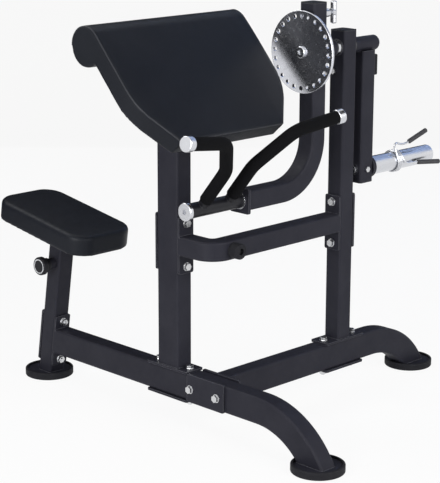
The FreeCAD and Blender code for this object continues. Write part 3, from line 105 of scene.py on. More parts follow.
# Stage: the floor, and cards that only reflections and light meet
FLOOR_SIZE = 30.0
FLOOR_TONE = (0.92, 0.92, 0.92)
FLOOR_GLOW = 0.92           # share of the floor's own white, the rest is lit
STAGE_ROUGHNESS = 0.9
DARK_TONE = (0.01, 0.01, 0.012)
DARK_CARDS = {
    "side_card": ((-1.62, 1.30, 0.06), (0.20, 2.20, 0.02), (0.20, 2.95, 2.60), (-1.12, 2.28, 2.60)),
    "back_card": ((0.5, 4.3, 0.02), (4.3, 0.5, 0.02), (4.3, 0.5, 3.6), (0.5, 4.3, 3.6)),
    "top_card": ((1.68, -2.57, 2.57), (2.66, -0.49, 2.57), (1.44, 0.09, 4.11), (0.46, -1.99, 4.11)),
}
BLUE_TONE = (0.50, 0.64, 0.98)
BLUE_CARDS = {
    "high_card": ((1.9, -0.9, 2.5), (1.4, 1.6, 3.0), (3.0, 1.6, 1.4), (3.0, -1.6, 1.4)),
}

# Painted edge highlight: match of the rounded normal with the face's own, on a sharp edge and on
# the flat
EDGE_MATCH = 0.82
FLAT_MATCH = 0.995

# Index disc
DISC_FACE = PIVOT.x - 0.161
DISC_DISH = 0.6             # rise of its dished face per square of the radius

# Cushions
CUSHION_VOXEL = 0.004
CLOTH_FRAMES = 20
CLOTH_PRESSURE = 4.0
CALM_ROUNDS = 24            # how often the cloth's moves are evened out between neighbours

# Arm pad: a roll along its upper end and a flat bed down the slope, with cut corners
PAD_SLOPE = 48.0
PAD_CENTRE = ORIGIN + Vector((0, 0.1755, 0.987))    # middle of the roll
ROLL_RADIUS = 0.050
PAD_LENGTH = 0.320
PAD_HALF = 0.251
PAD_UNDER = -0.0017
PAD_NOSE = 0.006            # rounding of the bed's lower end
PAD_CHAMFER_WIDTH = 0.078
PAD_CHAMFER_LENGTH = 0.110
PAD_BEND = 0.157            # radius between a side and its cut corner
PAD_CROWN = 0.0035
PAD_EDGE = 0.0035
PAD_SWELL = 0.0015
PAD_INNER = PAD_HALF - PAD_CHAMFER_WIDTH
PAD_CUT = math.atan2(PAD_CHAMFER_WIDTH, PAD_CHAMFER_LENGTH)     # turn of the cut corner, in radians
PAD_TRIM = PAD_BEND * math.tan(PAD_CUT / 2)
PAD_BEND_START = PAD_LENGTH - PAD_CHAMFER_LENGTH - PAD_TRIM
BED_STEPS = 60
NOSE_STEPS = 6
FRONT_STEPS = 8
UNDER_STEPS = 40
ROLL_STEPS = 60
EDGE_ANGLES = range(0, 91, 15)
BEND_SHARES = (0.5, 0.65, 0.8, 0.9, 1.0)
CHAMFER_SHARES = (0.6, 0.8, 1.0, 1.1)

# Cord in the arm pad's seam
WELT_RADIUS = 0.0015
WELT_SIDES = 10
WELT_ANGLES = range(230, 90, -10)   # round the roll, from under it to its top
WELT_LINE_STEPS = 12
WELT_BEND_STEPS = 8

# Seat
SEAT_LEAN = 9.0
SEAT_POST = ORIGIN + Vector((0, 0.6426, 0.014))     # foot of the leaning post
SEAT_UNDER = 0.4147
SEAT_HALF_WIDTH = 0.1015
SEAT_HALF_LENGTH = 0.1825
SEAT_THICKNESS = 0.0555
SEAT_CORNER = 0.057
SEAT_CORNER_LEAST = 0.02
SEAT_CORNER_STEPS = 12
SEAT_RIM = ((0.003, 0), (0.0008, 0.001), (0, 0.004))    # inset and height round the underside
SEAT_EDGE = 0.012
SEAT_EDGE_STEPS = 6
SEAT_TOP_INSET = 0.07
SEAT_SWELL = 0.0025

# Handle: corners of one bar's centre line, from the sleeve to its end
HANDLE_LEAN = 40.0
BAR_CORNERS = ((0.046, 0.030), (0.046, 0.140), (0.118, 0.254), (0.266, 0.281))
BAR_BEND = 0.060
GRIP_CAP = 0.0204           # length of the chrome cap past the foam
GRIP_RADIUS = 0.0164
GRIP_ROUND = 0.004
GRIP_SIDES = 32
BEND_STEPS = 10
RIM_STEPS = 5

# Inlaid ring of the seat knob
INLAY_INNER = 0.0172
INLAY_OUTER = 0.0198
INLAY_DEPTH = 0.0010
INLAY_PROUD = 0.0002
INLAY_SIDES = 48


# Shader nodes, for a material or the world

def add(made, kind, **inputs):
    node = made.node_tree.nodes.new(kind)
    for name, value in inputs.items():
        node.inputs[name.replace("_", " ")].default_value = value
    return node


def link(made, source, target):
    made.node_tree.links.new(source, target)


def place(made):
    """Coordinates in metres that move with the piece."""
    return add(made, "ShaderNodeTexCoord").outputs["Object"]


def noise(made, scale, detail=4.0):
    texture = add(made, "ShaderNodeTexNoise", Scale=scale, Detail=detail)
    link(made, place(made), texture.inputs["Vector"])
    return texture.outputs["Fac"]


def cells(made, scale, feature="F1"):
    texture = add(made, "ShaderNodeTexVoronoi", Scale=scale)
    texture.feature = feature
    link(made, place(made), texture.inputs["Vector"])
    return texture.outputs["Distance"]


def spread(made, value, low, high, start=0.3, stop=0.7):
    """Maps a range, by default a texture's middle one, to the range from low to high."""
    node = add(made, "ShaderNodeMapRange", From_Min=start, From_Max=stop, To_Min=low, To_Max=high)
    link(made, value, node.inputs["Value"])
    return node.outputs["Result"]


def clouds(made, scale):
    return spread(made, noise(made, scale), 0, 1)


def dot(made, first, second):
    node = add(made, "ShaderNodeVectorMath")
    node.operation = "DOT_PRODUCT"
    link(made, first, node.inputs[0])
    link(made, second, node.inputs[1])
    return node.outputs["Value"]


def tone(made, value, dark, pale):
    """A colour between two tones; the dark one may come from another node."""
    mix = add(made, "ShaderNodeMix")
    mix.data_type = "RGBA"
    first, second = [socket for socket in mix.inputs if socket.type == "RGBA"]
    if isinstance(dark, tuple):
        first.default_value = (*dark, 1)
    else:
        link(made, dark, first)
    second.default_value = (*pale, 1)
    link(made, value, mix.inputs["Factor"])
    return next(socket for socket in mix.outputs if socket.type == "RGBA")


def soft_edges(made, radius):
    """Normals that round the sharp edges of a plate or tube."""
    return add(made, "ShaderNodeBevel", Radius=radius).outputs["Normal"]


def edges(made, normal):
    """One on the edges of a piece, zero on its faces: the mask of a painted edge highlight."""
    face = add(made, "ShaderNodeNewGeometry").outputs["Normal"]
    return spread(made, dot(made, normal, face), 1, 0, EDGE_MATCH, FLAT_MATCH)


def shown_rays(made):
    """One for rays of the camera and for those that metal or glass sends on, zero for the rest."""
    path = add(made, "ShaderNodeLightPath")
    total = path.outputs["Is Camera Ray"]
    for kind in ("Is Glossy Ray", "Is Transmission Ray"):
        joined = add(made, "ShaderNodeMath")
        joined.operation = "ADD"
        joined.use_clamp = True
        link(made, total, joined.inputs[0])
        link(made, path.outputs[kind], joined.inputs[1])
        total = joined.outputs["Value"]
    return total


# Materials

def new_material(name, color, roughness, metallic=0.0, specular=0.5):
    """A material and its main shader."""
    made = bpy.data.materials.new(name)
    made.use_nodes = True
    shader = made.node_tree.nodes["Principled BSDF"]
    shader.inputs["Base Color"].default_value = (*color, 1)
    shader.inputs["Roughness"].default_value = roughness
    shader.inputs["Metallic"].default_value = metallic
    shader.inputs["Specular IOR Level"].default_value = specular
    return made, shader


def tint(made, shader, value, dark, pale):
    """Base colour that wanders between two tones."""
    link(made, tone(made, value, dark, pale), shader.inputs["Base Color"])


def haze(made, shader, scale, low, high):
    """Roughness that wanders between two values."""
    link(made, spread(made, noise(made, scale), low, high), shader.inputs["Roughness"])


def bump(made, shader, height, strength, depth, under=None):
    """Relief of a depth in metres, over normals that another node may have changed."""
    node = add(made, "ShaderNodeBump", Strength=strength, Distance=depth)
    link(made, height, node.inputs["Height"])
    if under:
        link(made, under, node.inputs["Normal"])
    link(made, node.outputs["Normal"], shader.inputs["Normal"])


def grain(made, shader, scale, strength, depth, detail=2.0, under=None):
    """Small bumps all over."""
    bump(made, shader, noise(made, scale, detail), strength, depth, under)


def powder_coat():
    """Black powder coat, paler on the edges as a painted highlight."""
    made, shader = new_material("powder_coat", (0.022, 0.022, 0.031), 0.5, specular=0.12)
    normal = soft_edges(made, radius=0.0028)
    cloudy = tone(made, clouds(made, 14.0), (0.0170, 0.0170, 0.0245), (0.0228, 0.0228, 0.0312))
    # Painted highlight: the edges take a paler base colour.
    tint(made, shader, edges(made, normal), cloudy, (0.120, 0.121, 0.138))
    haze(made, shader, scale=60.0, low=0.44, high=0.56)
    grain(made, shader, scale=1100.0, strength=0.25, depth=0.00012, under=normal)
    return made


def handle_paint():
    """Smoother and blacker paint on the part that hands polish, with a painted highlight along the
    edges.
    """
    made, shader = new_material("handle_paint", (0.008, 0.008, 0.011), 0.34, specular=0.25)
    normal = soft_edges(made, radius=0.002)
    cloudy = tone(made, clouds(made, 18.0), (0.006, 0.006, 0.009), (0.010, 0.010, 0.013))
    # Painted highlight: the edges take a paler base colour.
    tint(made, shader, edges(made, normal), cloudy, (0.070, 0.071, 0.080))
    haze(made, shader, scale=70.0, low=0.30, high=0.40)
    grain(made, shader, scale=900.0, strength=0.15, depth=0.0001, under=normal)
    return made


def rubber():
    """Matt black rubber, paler on the edges as a painted highlight."""
    made, shader = new_material("black_rubber", (0.014, 0.014, 0.017), 0.68, specular=0.14)
    normal = soft_edges(made, radius=0.0022)
    cloudy = tone(made, clouds(made, 25.0), (0.012, 0.012, 0.015), (0.017, 0.017, 0.020))
    # Painted highlight: the edges take a paler base colour.
    tint(made, shader, edges(made, normal), cloudy, (0.042, 0.042, 0.048))
    haze(made, shader, scale=80.0, low=0.6, high=0.76)
    grain(made, shader, scale=600.0, detail=3.0, strength=0.3, depth=0.0002, under=normal)
    return made


def plastic():
    """Moulded black plastic, paler on the edges as a painted highlight."""
    made, shader = new_material("black_plastic", (0.013, 0.013, 0.016), 0.45, specular=0.18)
    normal = soft_edges(made, radius=0.0016)
    cloudy = tone(made, clouds(made, 30.0), (0.011, 0.011, 0.014), (0.016, 0.016, 0.019))
    # Painted highlight: the edges take a paler base colour.
    tint(made, shader, edges(made, normal), cloudy, (0.038, 0.038, 0.043))
    haze(made, shader, scale=220.0, low=0.4, high=0.52)
    grain(made, shader, scale=1500.0, strength=0.2, depth=0.0001, under=normal)
    return made


def vinyl():
    """Grained cover of the cushions."""
    made, shader = new_material("black_vinyl", (0.007, 0.0086, 0.013), 0.44, specular=0.17)
    tint(made, shader, clouds(made, 9.0), (0.0062, 0.0076, 0.0118), (0.0082, 0.0096, 0.0142))
    haze(made, shader, scale=40.0, low=0.40, high=0.48)
    pebbles = spread(made, cells(made, 520.0, "DISTANCE_TO_EDGE"), 0, 1, start=0.0, stop=0.12)
    bump(made, shader, pebbles, strength=0.2, depth=0.0002)
    return made


def welt_vinyl():
    """The same vinyl over a cord, in a paler tone."""
    made, shader = new_material("welt_vinyl", (0.032, 0.034, 0.040), 0.45, specular=0.25)
    tint(made, shader, clouds(made, 120.0), (0.026, 0.028, 0.034), (0.038, 0.040, 0.047))
    grain(made, shader, scale=500.0, strength=0.2, depth=0.0002)
    return made


def chrome():
    """Polished chrome over slightly uneven metal."""
    made, shader = new_material("bright_chrome", (0.64, 0.65, 0.68), 0.24, metallic=1.0)
    tint(made, shader, clouds(made, 6.0), (0.62, 0.63, 0.66), (0.68, 0.69, 0.72))
    haze(made, shader, scale=45.0, low=0.20, high=0.28)
    normal = soft_edges(made, radius=0.0008)
    grain(made, shader, scale=8.0, detail=1.0, strength=0.05, depth=0.0006, under=normal)
    return made


def turned_chrome():
    """Chrome over fine turning marks round the disc's centre; the face is slightly dished."""
    made, shader = new_material("turned_chrome", (0.70, 0.71, 0.76), 0.25, metallic=1.0)
    shader.inputs["Anisotropic"].default_value = 0.3
    tangent = add(made, "ShaderNodeTangent")
    tangent.direction_type = "RADIAL"
    tangent.axis = "X"
    link(made, tangent.outputs["Tangent"], shader.inputs["Tangent"])
    tint(made, shader, clouds(made, 12.0), (0.66, 0.67, 0.72), (0.74, 0.75, 0.80))
    haze(made, shader, scale=90.0, low=0.22, high=0.28)
    from_centre = add(made, "ShaderNodeVectorMath")
    from_centre.operation = "SUBTRACT"
    link(made, place(made), from_centre.inputs[0])
    from_centre.inputs[1].default_value = (DISC_FACE, PIVOT.y, PIVOT.z)
    square = dot(made, from_centre.outputs["Vector"], from_centre.outputs["Vector"])
    normal = soft_edges(made, radius=0.001)
    bump(made, shader, square, strength=1.0, depth=DISC_DISH, under=normal)
    return made


def zinc():
    """Zinc plate of the bolts, with cloudy patches."""
    made, shader = new_material("bolt_steel", (0.60, 0.61, 0.63), 0.28, metallic=1.0)
    tint(made, shader, clouds(made, 90.0), (0.54, 0.55, 0.57), (0.68, 0.68, 0.69))
    haze(made, shader, scale=160.0, low=0.2, high=0.36)
    normal = soft_edges(made, radius=0.0006)
    grain(made, shader, scale=700.0, strength=0.12, depth=0.0001, under=normal)
    return made


def black_steel():
    """Oxide-black screw."""
    made, shader = new_material("black_steel", (0.02, 0.02, 0.022), 0.4, metallic=0.6)
    tint(made, shader, clouds(made, 120.0), (0.015, 0.015, 0.017), (0.028, 0.028, 0.03))
    normal = soft_edges(made, radius=0.0005)
    grain(made, shader, scale=800.0, strength=0.15, depth=0.0001, under=normal)
    return made


def pale_inlay():
    """Pale filling of a moulded groove, a little grimy."""
    made, shader = new_material("pale_inlay", (0.6, 0.61, 0.63), 0.4)
    tint(made, shader, clouds(made, 160.0), (0.5, 0.51, 0.53), (0.68, 0.69, 0.71))
    grain(made, shader, scale=900.0, strength=0.15, depth=0.0001)
    return made


def nylon():
    """Dark nylon of the bushes."""
    made, shader = new_material("bush_plastic", (0.03, 0.03, 0.033), 0.5)
    tint(made, shader, clouds(made, 60.0), (0.024, 0.024, 0.027), (0.036, 0.036, 0.04))
    grain(made, shader, scale=900.0, strength=0.2, depth=0.0001)
    return made


def grip_rubber():
    """Grey pebbled rubber."""
    made, shader = new_material("grip_rubber", (0.05, 0.05, 0.055), 0.6, specular=0.3)
    pebbles = cells(made, 420.0)
    tint(made, shader, pebbles, (0.06, 0.06, 0.065), (0.03, 0.03, 0.033))
    bump(made, shader, pebbles, strength=0.6, depth=0.0006)
    return made


def foam():
    """Closed-cell foam: fine pits all over, with painted shade at their bottoms."""
    made, shader = new_material("grip_foam", (0.004, 0.004, 0.005), 0.8, specular=0.06)
    pits = cells(made, 700.0)
    # Painted shade: each pit is darker towards its bottom, where the bump is lowest.
    tint(made, shader, pits, (0.0025, 0.0025, 0.0030), (0.0065, 0.0065, 0.0075))
    bump(made, shader, pits, strength=0.4, depth=0.0003)
    return made


def plywood():
    """Long grain on the faces."""
    made, shader = new_material("plywood", (0.5, 0.36, 0.21), 0.6)
    waves = add(made, "ShaderNodeTexWave", Scale=60.0, Distortion=6.0, Detail=3.0)
    link(made, place(made), waves.inputs["Vector"])
    tint(made, shader, waves.outputs["Fac"], (0.42, 0.29, 0.16), (0.58, 0.43, 0.26))
    bump(made, shader, waves.outputs["Fac"], strength=0.15, depth=0.0002)
    return made


FINISHES = {
    "frame_paint": powder_coat(),
    "bright_chrome": chrome(),
    "bolt_steel": zinc(),
    "black_rubber": rubber(),
    "black_vinyl": vinyl(),
    "plywood": plywood(),
    "black_plastic": plastic(),
    "bush_plastic": nylon(),
}
OWN_FINISHES = {
    "index_disc": turned_chrome(),
    "handle": handle_paint(),
    "hand_grips": foam(),
    "collar_grips": grip_rubber(),
    "bumper_screw": black_steel(),
}


def dress_nodes():
    """Every carried-over solid gets the finish of its slot, or its own."""
    for part in frame["record"]["subparts"]:
        mesh = frame["nodes"][part["node"]].data
        mesh.materials.clear()
        mesh.materials.append(OWN_FINISHES.get(part["node"], FINISHES[part["material_slot"]]))


# Building pieces

def new_object(name, data):
    made = bpy.data.objects.new(name, data)
    bpy.context.scene.collection.objects.link(made)
    return made


def new_piece(name, mesh, finish, body, slot, *nodes):
    """A piece that rides on a body, takes a finish and stands for CAD nodes, which it hides. The
    slot is not used.
    """
    piece = new_object(name, mesh)
    mesh.materials.append(finish)
    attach(piece, body)
    if nodes:
        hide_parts(*nodes)
    return piece


def leaning(angle):
    """Turn about the X axis."""
    return Matrix.Rotation(math.radians(angle), 3, "X")


def circle(steps):
    """Cosine and sine of angles all round."""
    angles = [2 * math.pi * step / steps for step in range(steps)]
    return [(math.cos(angle), math.sin(angle)) for angle in angles]


def smooth(mesh):
    for face in mesh.polygons:
        face.use_smooth = True
    return mesh


def lofted(rings, around=False):
    """A closed mesh through rings of as many points each: with flat ends, or joined all round."""
    skin = bmesh.new()
    loops = [[skin.verts.new(point) for point in ring] for ring in rings]
    following = loops[1:] + loops[:1] if around else loops[1:]
    for near, far in zip(loops, following):
        for i, corner in enumerate(near):
            skin.faces.new((near[i - 1], corner, far[i], far[i - 1]))
    if not around:
        skin.faces.new(loops[0][::-1])
        skin.faces.new(loops[-1])
    bmesh.ops.recalc_face_normals(skin, faces=skin.faces)
    mesh = bpy.data.meshes.new("loft")
    skin.to_mesh(mesh)
    skin.free()
    return mesh


def turned_ring(inner, outer, depth, point, axis, sides):
    """A flat ring that stands on a point."""
    turn = axis.to_track_quat("Z", "Y").to_matrix()
    rings = []
    for radius, along in ((inner, 0), (outer, 0), (outer, depth), (inner, depth)):
        flat = [Vector((radius * x, radius * y, along)) for x, y in circle(sides)]
        rings.append([point + turn @ corner for corner in flat])
    return lofted(rings, around=True)


def rounded_route(corners, radius, steps):
    """Points along straight lines through corners, with the corners rounded."""
    route = [corners[0]]
    for before, corner, after in zip(corners, corners[1:], corners[2:]):
        inward = (corner - before).normalized()
        outward = (after - corner).normalized()
        turn = inward.angle(outward)
        centre = corner + (outward - inward).normalized() * (radius / math.cos(turn / 2))
        start = corner - inward * (radius * math.tan(turn / 2)) - centre
        axis = inward.cross(outward).normalized()
        turns = [Quaternion(axis, turn * step / steps) for step in range(steps + 1)]
        route += [centre + part_turn @ start for part_turn in turns]
    route.append(corners[-1])
    return route


def hose(route, radius, rounding, sides):
    """A closed mesh round a route, with round rims."""
    first = (route[1] - route[0]).normalized()
    last = (route[-1] - route[-2]).normalized()
    rims = [math.radians(90 * step / RIM_STEPS) for step in range(RIM_STEPS + 1)]
    drawn = [(rounding * (1 - math.sin(a)), rounding * (1 - math.cos(a))) for a in rims]
    stations = [(route[0] + first * along, first, radius - less) for less, along in drawn]
    for before, point, after in zip(route, route[1:], route[2:]):
        stations.append((point, (after - before).normalized(), radius))
    stations += [(route[-1] - last * along, last, radius - less) for less, along in drawn[::-1]]
    side = first.orthogonal().normalized()
    rings = []
    for point, heading, reach in stations:
        side = (side - heading * side.dot(heading)).normalized()
        other = heading.cross(side)
        rings.append([point + side * (reach * x) + other * (reach * y) for x, y in circle(sides)])
    return lofted(rings)


# Cushions

def evaluated_mesh(piece):
    graph = bpy.context.evaluated_depsgraph_get()
    return bpy.data.meshes.new_from_object(piece.evaluated_get(graph))


def remeshed(mesh, voxel):
    """The mesh again as an even skin."""
    blank = new_object("blank", mesh)
    skin = blank.modifiers.new("skin", "REMESH")
    skin.mode = "VOXEL"
    skin.voxel_size = voxel
    even = evaluated_mesh(blank)
    bpy.data.objects.remove(blank)
    return even


def calmed(rise, pairs):
    """How far the skin's points move out, evened out between neighbours so that no creases stay."""
    ends = numpy.concatenate((pairs, pairs[:, ::-1]))
    count = numpy.bincount(ends[:, 0], minlength=len(rise))
    for _ in range(CALM_ROUNDS):
        rise = (rise + numpy.bincount(ends[:, 0], rise[ends[:, 1]], len(rise))) / (1 + count)
    return rise


def swollen(mesh, cap, held):
    """The skin under the foam's pressure. A point moves by the cap at most; a held one stays."""
    scene = bpy.context.scene
    blank = new_object("blank", mesh)
    cloth = blank.modifiers.new("cloth", "CLOTH")
    cloth.settings.use_pressure = True
    cloth.settings.uniform_pressure_force = CLOTH_PRESSURE
    cloth.settings.effector_weights.gravity = 0
    for number in range(1, CLOTH_FRAMES + 1):
        scene.frame_set(number)
    moved = evaluated_mesh(blank)
    both = list(zip(mesh.vertices, moved.vertices))
    rise = [(after.co - point.co).dot(point.normal) for point, after in both]
    free = [not held(point.co) for point in mesh.vertices]
    pairs = numpy.array([edge.vertices for edge in mesh.edges])
    rise = calmed(numpy.maximum(rise, 0) * free, pairs) * free
    for (point, after), share in zip(both, rise / rise.max()):
        after.co = point.co + point.normal * (cap * share)
    bpy.data.objects.remove(blank)
    scene.frame_set(1)
    return moved


def cushion(name, rings, swell, held, body, node):
    """Foam under vinyl, through rings of points, that stands for a CAD node. Gives its mesh."""
    full = smooth(swollen(remeshed(lofted(rings), CUSHION_VOXEL), swell, held))
    piece = new_piece(name, full, FINISHES["black_vinyl"], body, "black_vinyl", node)
    piece.modifiers.new("finer", "SUBSURF").render_levels = 1
    return full


# Arm pad

def pad_place(x, down, up):
    """A place on the arm pad: across it, down the slope, and up from the roll's middle."""
    return PAD_CENTRE + leaning(PAD_SLOPE) @ Vector((x, -down, up))


def pad_tip(x):
    """How far the bed reaches down the slope at a place across the pad."""
    if abs(x) <= PAD_INNER:
        return PAD_LENGTH
    if abs(x) <= PAD_HALF - PAD_TRIM * math.sin(PAD_CUT):
        return PAD_LENGTH - (abs(x) - PAD_INNER) * PAD_CHAMFER_LENGTH / PAD_CHAMFER_WIDTH
    out = min(abs(x), PAD_HALF) - PAD_HALF + PAD_BEND
    return PAD_BEND_START + math.sqrt(max(0, PAD_BEND ** 2 - out ** 2))


def arc_points(centre, radius, start, stop, steps):
    """Points on an arc, without its last one, in (down, up) pairs."""
    angles = [math.radians(start + (stop - start) * step / steps) for step in range(steps)]
    return [(centre[0] + radius * math.cos(a), centre[1] + radius * math.sin(a)) for a in angles]


def line_points(start, stop, steps, crown=0.0):
    """Points on a line, without its last one, that may rise to a crown in the middle."""
    points = []
    for step in range(steps):
        share = step / steps
        down = start[0] + (stop[0] - start[0]) * share
        up = start[1] + (stop[1] - start[1]) * share
        points.append((down, up + crown * math.sin(math.pi * share)))
    return points


def pad_ring(x, inset):
    """Outline of the pad at a place across it, along the slope."""
    radius = ROLL_RADIUS - inset
    low = PAD_UNDER + inset
    tip = pad_tip(x) - inset
    edge = tip - PAD_NOSE
    high_nose = radius - PAD_NOSE
    low_nose = low + PAD_NOSE
    under = math.degrees(math.asin(low / radius))
    notch = radius * math.cos(math.radians(under))
    outline = line_points((0, radius), (edge, radius), BED_STEPS, PAD_CROWN)
    outline += arc_points((edge, high_nose), PAD_NOSE, 90, 0, NOSE_STEPS)
    outline += line_points((tip, high_nose), (tip, low_nose), FRONT_STEPS)
    outline += arc_points((edge, low_nose), PAD_NOSE, 0, -90, NOSE_STEPS)
    outline += line_points((edge, low), (notch, low), UNDER_STEPS)
    outline += arc_points((0, 0), radius, under, -270, ROLL_STEPS)
    return [pad_place(x, down, up) for down, up in outline]


def pad_bend(angle):
    """Place across the pad at a turn of the bend between a side and its cut corner."""
    return PAD_HALF - PAD_BEND * (1 - math.cos(angle))


def pad_stations():
    """Places across the pad and how far their outlines lie in, rounded at both sides."""
    right = []
    for angle in map(math.radians, EDGE_ANGLES):
        x = PAD_HALF - PAD_EDGE * (1 - math.cos(angle))
        right.append((x, PAD_EDGE * (1 - math.sin(angle))))
    right += [(pad_bend(PAD_CUT * share), 0) for share in BEND_SHARES]
    right += [(PAD_HALF - PAD_CHAMFER_WIDTH * share, 0) for share in CHAMFER_SHARES]
    return right + [(0, 0)] + [(-x, inset) for x, inset in right[::-1]]


def welt_route():
    """Along the pad's upper edge: from under the roll, over it, down one side and up the other."""
    route = []
    for angle in map(math.radians, WELT_ANGLES):
        route.append((PAD_HALF, ROLL_RADIUS * math.cos(angle), ROLL_RADIUS * math.sin(angle)))
    for step in range(WELT_LINE_STEPS):
        route.append((PAD_HALF, PAD_BEND_START * step / WELT_LINE_STEPS, ROLL_RADIUS))
    for step in range(WELT_BEND_STEPS + 1):
        angle = PAD_CUT * step / WELT_BEND_STEPS
        route.append((pad_bend(angle), PAD_BEND_START + PAD_BEND * math.sin(angle), ROLL_RADIUS))
    for step in range(WELT_LINE_STEPS + 1):
        route.append((PAD_INNER * (1 - step / WELT_LINE_STEPS), PAD_LENGTH, ROLL_RADIUS))
    return route + [(-x, down, up) for x, down, up in route[-2::-1]]


def welt(mesh):
    """Cord in the seam round the pad's upper edge, laid on the cushion's skin."""
    points = [vertex.co for vertex in mesh.vertices]
    skin = BVHTree.FromPolygons(points, [face.vertices for face in mesh.polygons])
    route = [skin.find_nearest(pad_place(*point))[0] for point in welt_route()]
    cord = smooth(hose(route, WELT_RADIUS, WELT_RADIUS, WELT_SIDES))
    piece = new_piece("arm_pad_welt", cord, welt_vinyl(), "frame", "black_vinyl")


def arm_pad():
    back = leaning(-PAD_SLOPE)

    def held(point):
        return (back @ (point - PAD_CENTRE)).z < PAD_UNDER + CUSHION_VOXEL

    rings = [pad_ring(x, inset) for x, inset in pad_stations()]
    welt(cushion("arm_pad_cushion", rings, PAD_SWELL, held, "frame", "arm_pad"))


# Seat

def seat_ring(inset, height):
    """Outline of the seat seen from above, at a height over its underside."""
    half_width = SEAT_HALF_WIDTH - inset
    half_length = SEAT_HALF_LENGTH - inset
    corner = max(SEAT_CORNER - inset, SEAT_CORNER_LEAST)
    turn = leaning(SEAT_LEAN)
    points = []
    for quarter, (i, j) in enumerate(((1, 1), (-1, 1), (-1, -1), (1, -1))):
        for step in range(SEAT_CORNER_STEPS):
            angle = math.radians(90 * quarter + 90 * step / SEAT_CORNER_STEPS)
            across = i * (half_width - corner) + corner * math.cos(angle)
            ahead = j * (half_length - corner) + corner * math.sin(angle)
            points.append(SEAT_POST + turn @ Vector((across, ahead, SEAT_UNDER + height)))
    return points


def seat_pad():
    back = leaning(-SEAT_LEAN)

    def held(point):
        return (back @ (point - SEAT_POST)).z < SEAT_UNDER + CUSHION_VOXEL

    rings = [seat_ring(inset, height) for inset, height in SEAT_RIM]
    for step in range(SEAT_EDGE_STEPS + 1):
        angle = math.radians(90 * step / SEAT_EDGE_STEPS)
        height = SEAT_THICKNESS - SEAT_EDGE * (1 - math.sin(angle))
        rings.append(seat_ring(SEAT_EDGE * (1 - math.cos(angle)), height))
    rings.append(seat_ring(SEAT_TOP_INSET, SEAT_THICKNESS))
    cushion("seat_cushion", rings, SEAT_SWELL, held, "seat", "seat_pad")


# Grips and knob

def hand_grips():
    """Foam over each bar of the handle, from the sleeve to the chrome cap."""
    turn = leaning(HANDLE_LEAN)
    finish = OWN_FINISHES["hand_grips"]
    for side, name in ((-1, "left_hand_grip"), (1, "right_hand_grip")):
        corners = [HANDLE_AXIS + turn @ Vector((side * out, 0, up)) for out, up in BAR_CORNERS]
        corners[-1] += (corners[-2] - corners[-1]).normalized() * GRIP_CAP
        route = rounded_route(corners, BAR_BEND, BEND_STEPS)
        mesh = smooth(hose(route, GRIP_RADIUS, GRIP_ROUND, GRIP_SIDES))
        piece = new_piece(name, mesh, finish, "handle_unit", "black_rubber", "hand_grips")


def knob_inlay():
    """Pale ring in the groove of the seat knob's face."""
    low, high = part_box("seat_knob")
    middle = (low + high) / 2
    point = Vector((low.x + INLAY_DEPTH, middle.y, middle.z))
    outward = Vector((-1, 0, 0))
    depth = INLAY_DEPTH + INLAY_PROUD
    mesh = turned_ring(INLAY_INNER, INLAY_OUTER, depth, point, outward, INLAY_SIDES)
    new_piece("seat_knob_inlay", mesh, pale_inlay(), "seat_lock", "black_plastic")


# Camera, light and stage

def aim(viewer, direction):
    """Turns a camera or lamp to look along a direction."""
    viewer.rotation_mode = "QUATERNION"
    viewer.rotation_quaternion = direction.to_track_quat("-Z", "Y")


def camera():
    data = bpy.data.cameras.new("camera")
    data.sensor_width = CAMERA_SENSOR
    data.lens = CAMERA_LENS
    data.clip_end = CAMERA_CLIP
    eye = new_object("camera", data)
    eye.location = ORIGIN + CAMERA_PLACE
    yaw = math.radians(CAMERA_YAW)
    pitch = math.radians(CAMERA_PITCH)
    level = math.cos(pitch)
    aim(eye, Vector((math.sin(yaw) * level, math.cos(yaw) * level, -math.sin(pitch))))
    roll = Quaternion((0, 0, 1), math.radians(CAMERA_ROLL))
    eye.rotation_quaternion = eye.rotation_quaternion @ roll
    bpy.context.scene.camera = eye


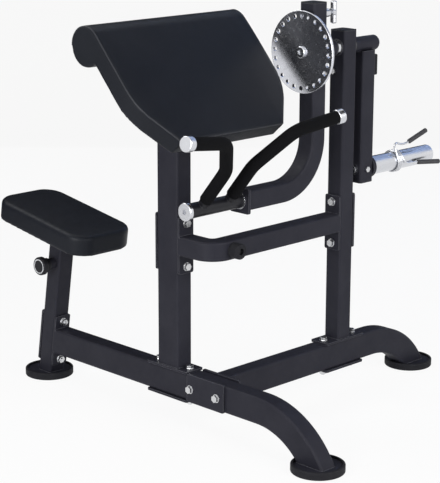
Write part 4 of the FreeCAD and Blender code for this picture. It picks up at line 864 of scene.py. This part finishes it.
def lights():
    """Square lamps that look at the middle of the bench."""
    middle = (cad_low + cad_high) / 2
    for name, (spot, power) in LAMPS.items():
        data = bpy.data.lights.new(name, "AREA")
        data.size = LAMP_SIZE
        data.energy = power
        lamp = new_object(name, data)
        lamp.location = spot
        aim(lamp, middle - Vector(spot))


def world():
    """White to the camera and in reflections, a soft fill for everything else."""
    sky = bpy.data.worlds.new("studio")
    sky.use_nodes = True
    bpy.context.scene.world = sky
    background = sky.node_tree.nodes["Background"]
    background.inputs["Color"].default_value = (1, 1, 1, 1)
    strength = spread(sky, shown_rays(sky), WORLD_FILL, 1, start=0, stop=1)
    link(sky, strength, background.inputs["Strength"])


def panel(name, corners, finish):
    """A flat stage piece."""
    mesh = bpy.data.meshes.new(name)
    mesh.from_pydata(corners, [], [(0, 1, 2, 3)])
    mesh.materials.append(finish)
    piece = new_object(name, mesh)
    return piece


def floor():
    """White to the camera and in reflections, but for a faint shadow."""
    made, shader = new_material("floor", FLOOR_TONE, STAGE_ROUGHNESS, specular=0.0)
    glow = add(made, "ShaderNodeEmission")
    mix = add(made, "ShaderNodeMixShader")
    share = spread(made, shown_rays(made), 0, FLOOR_GLOW, start=0, stop=1)
    link(made, share, mix.inputs["Fac"])
    link(made, shader.outputs["BSDF"], mix.inputs[1])
    link(made, glow.outputs["Emission"], mix.inputs[2])
    link(made, mix.outputs["Shader"], made.node_tree.nodes["Material Output"].inputs["Surface"])
    reach = FLOOR_SIZE / 2
    corners = [(i * reach, j * reach, 0) for i, j in ((-1, -1), (1, -1), (1, 1), (-1, 1))]
    panel("floor", corners, made)


def cards(finish_name, color, places):
    """Studio cards out of the picture, for metal and gloss to show."""
    finish = new_material(finish_name, color, STAGE_ROUGHNESS, specular=0.0)[0]
    for name, corners in places.items():
        panel(name, corners, finish).visible_camera = False


camera()
lights()
world()
floor()
cards("dark_card", DARK_TONE, DARK_CARDS)
cards("blue_card", BLUE_TONE, BLUE_CARDS)
dress_nodes()
arm_pad()
seat_pad()
hand_grips()
knob_inlay()

bpy.context.scene.view_settings.view_transform = "Standard"
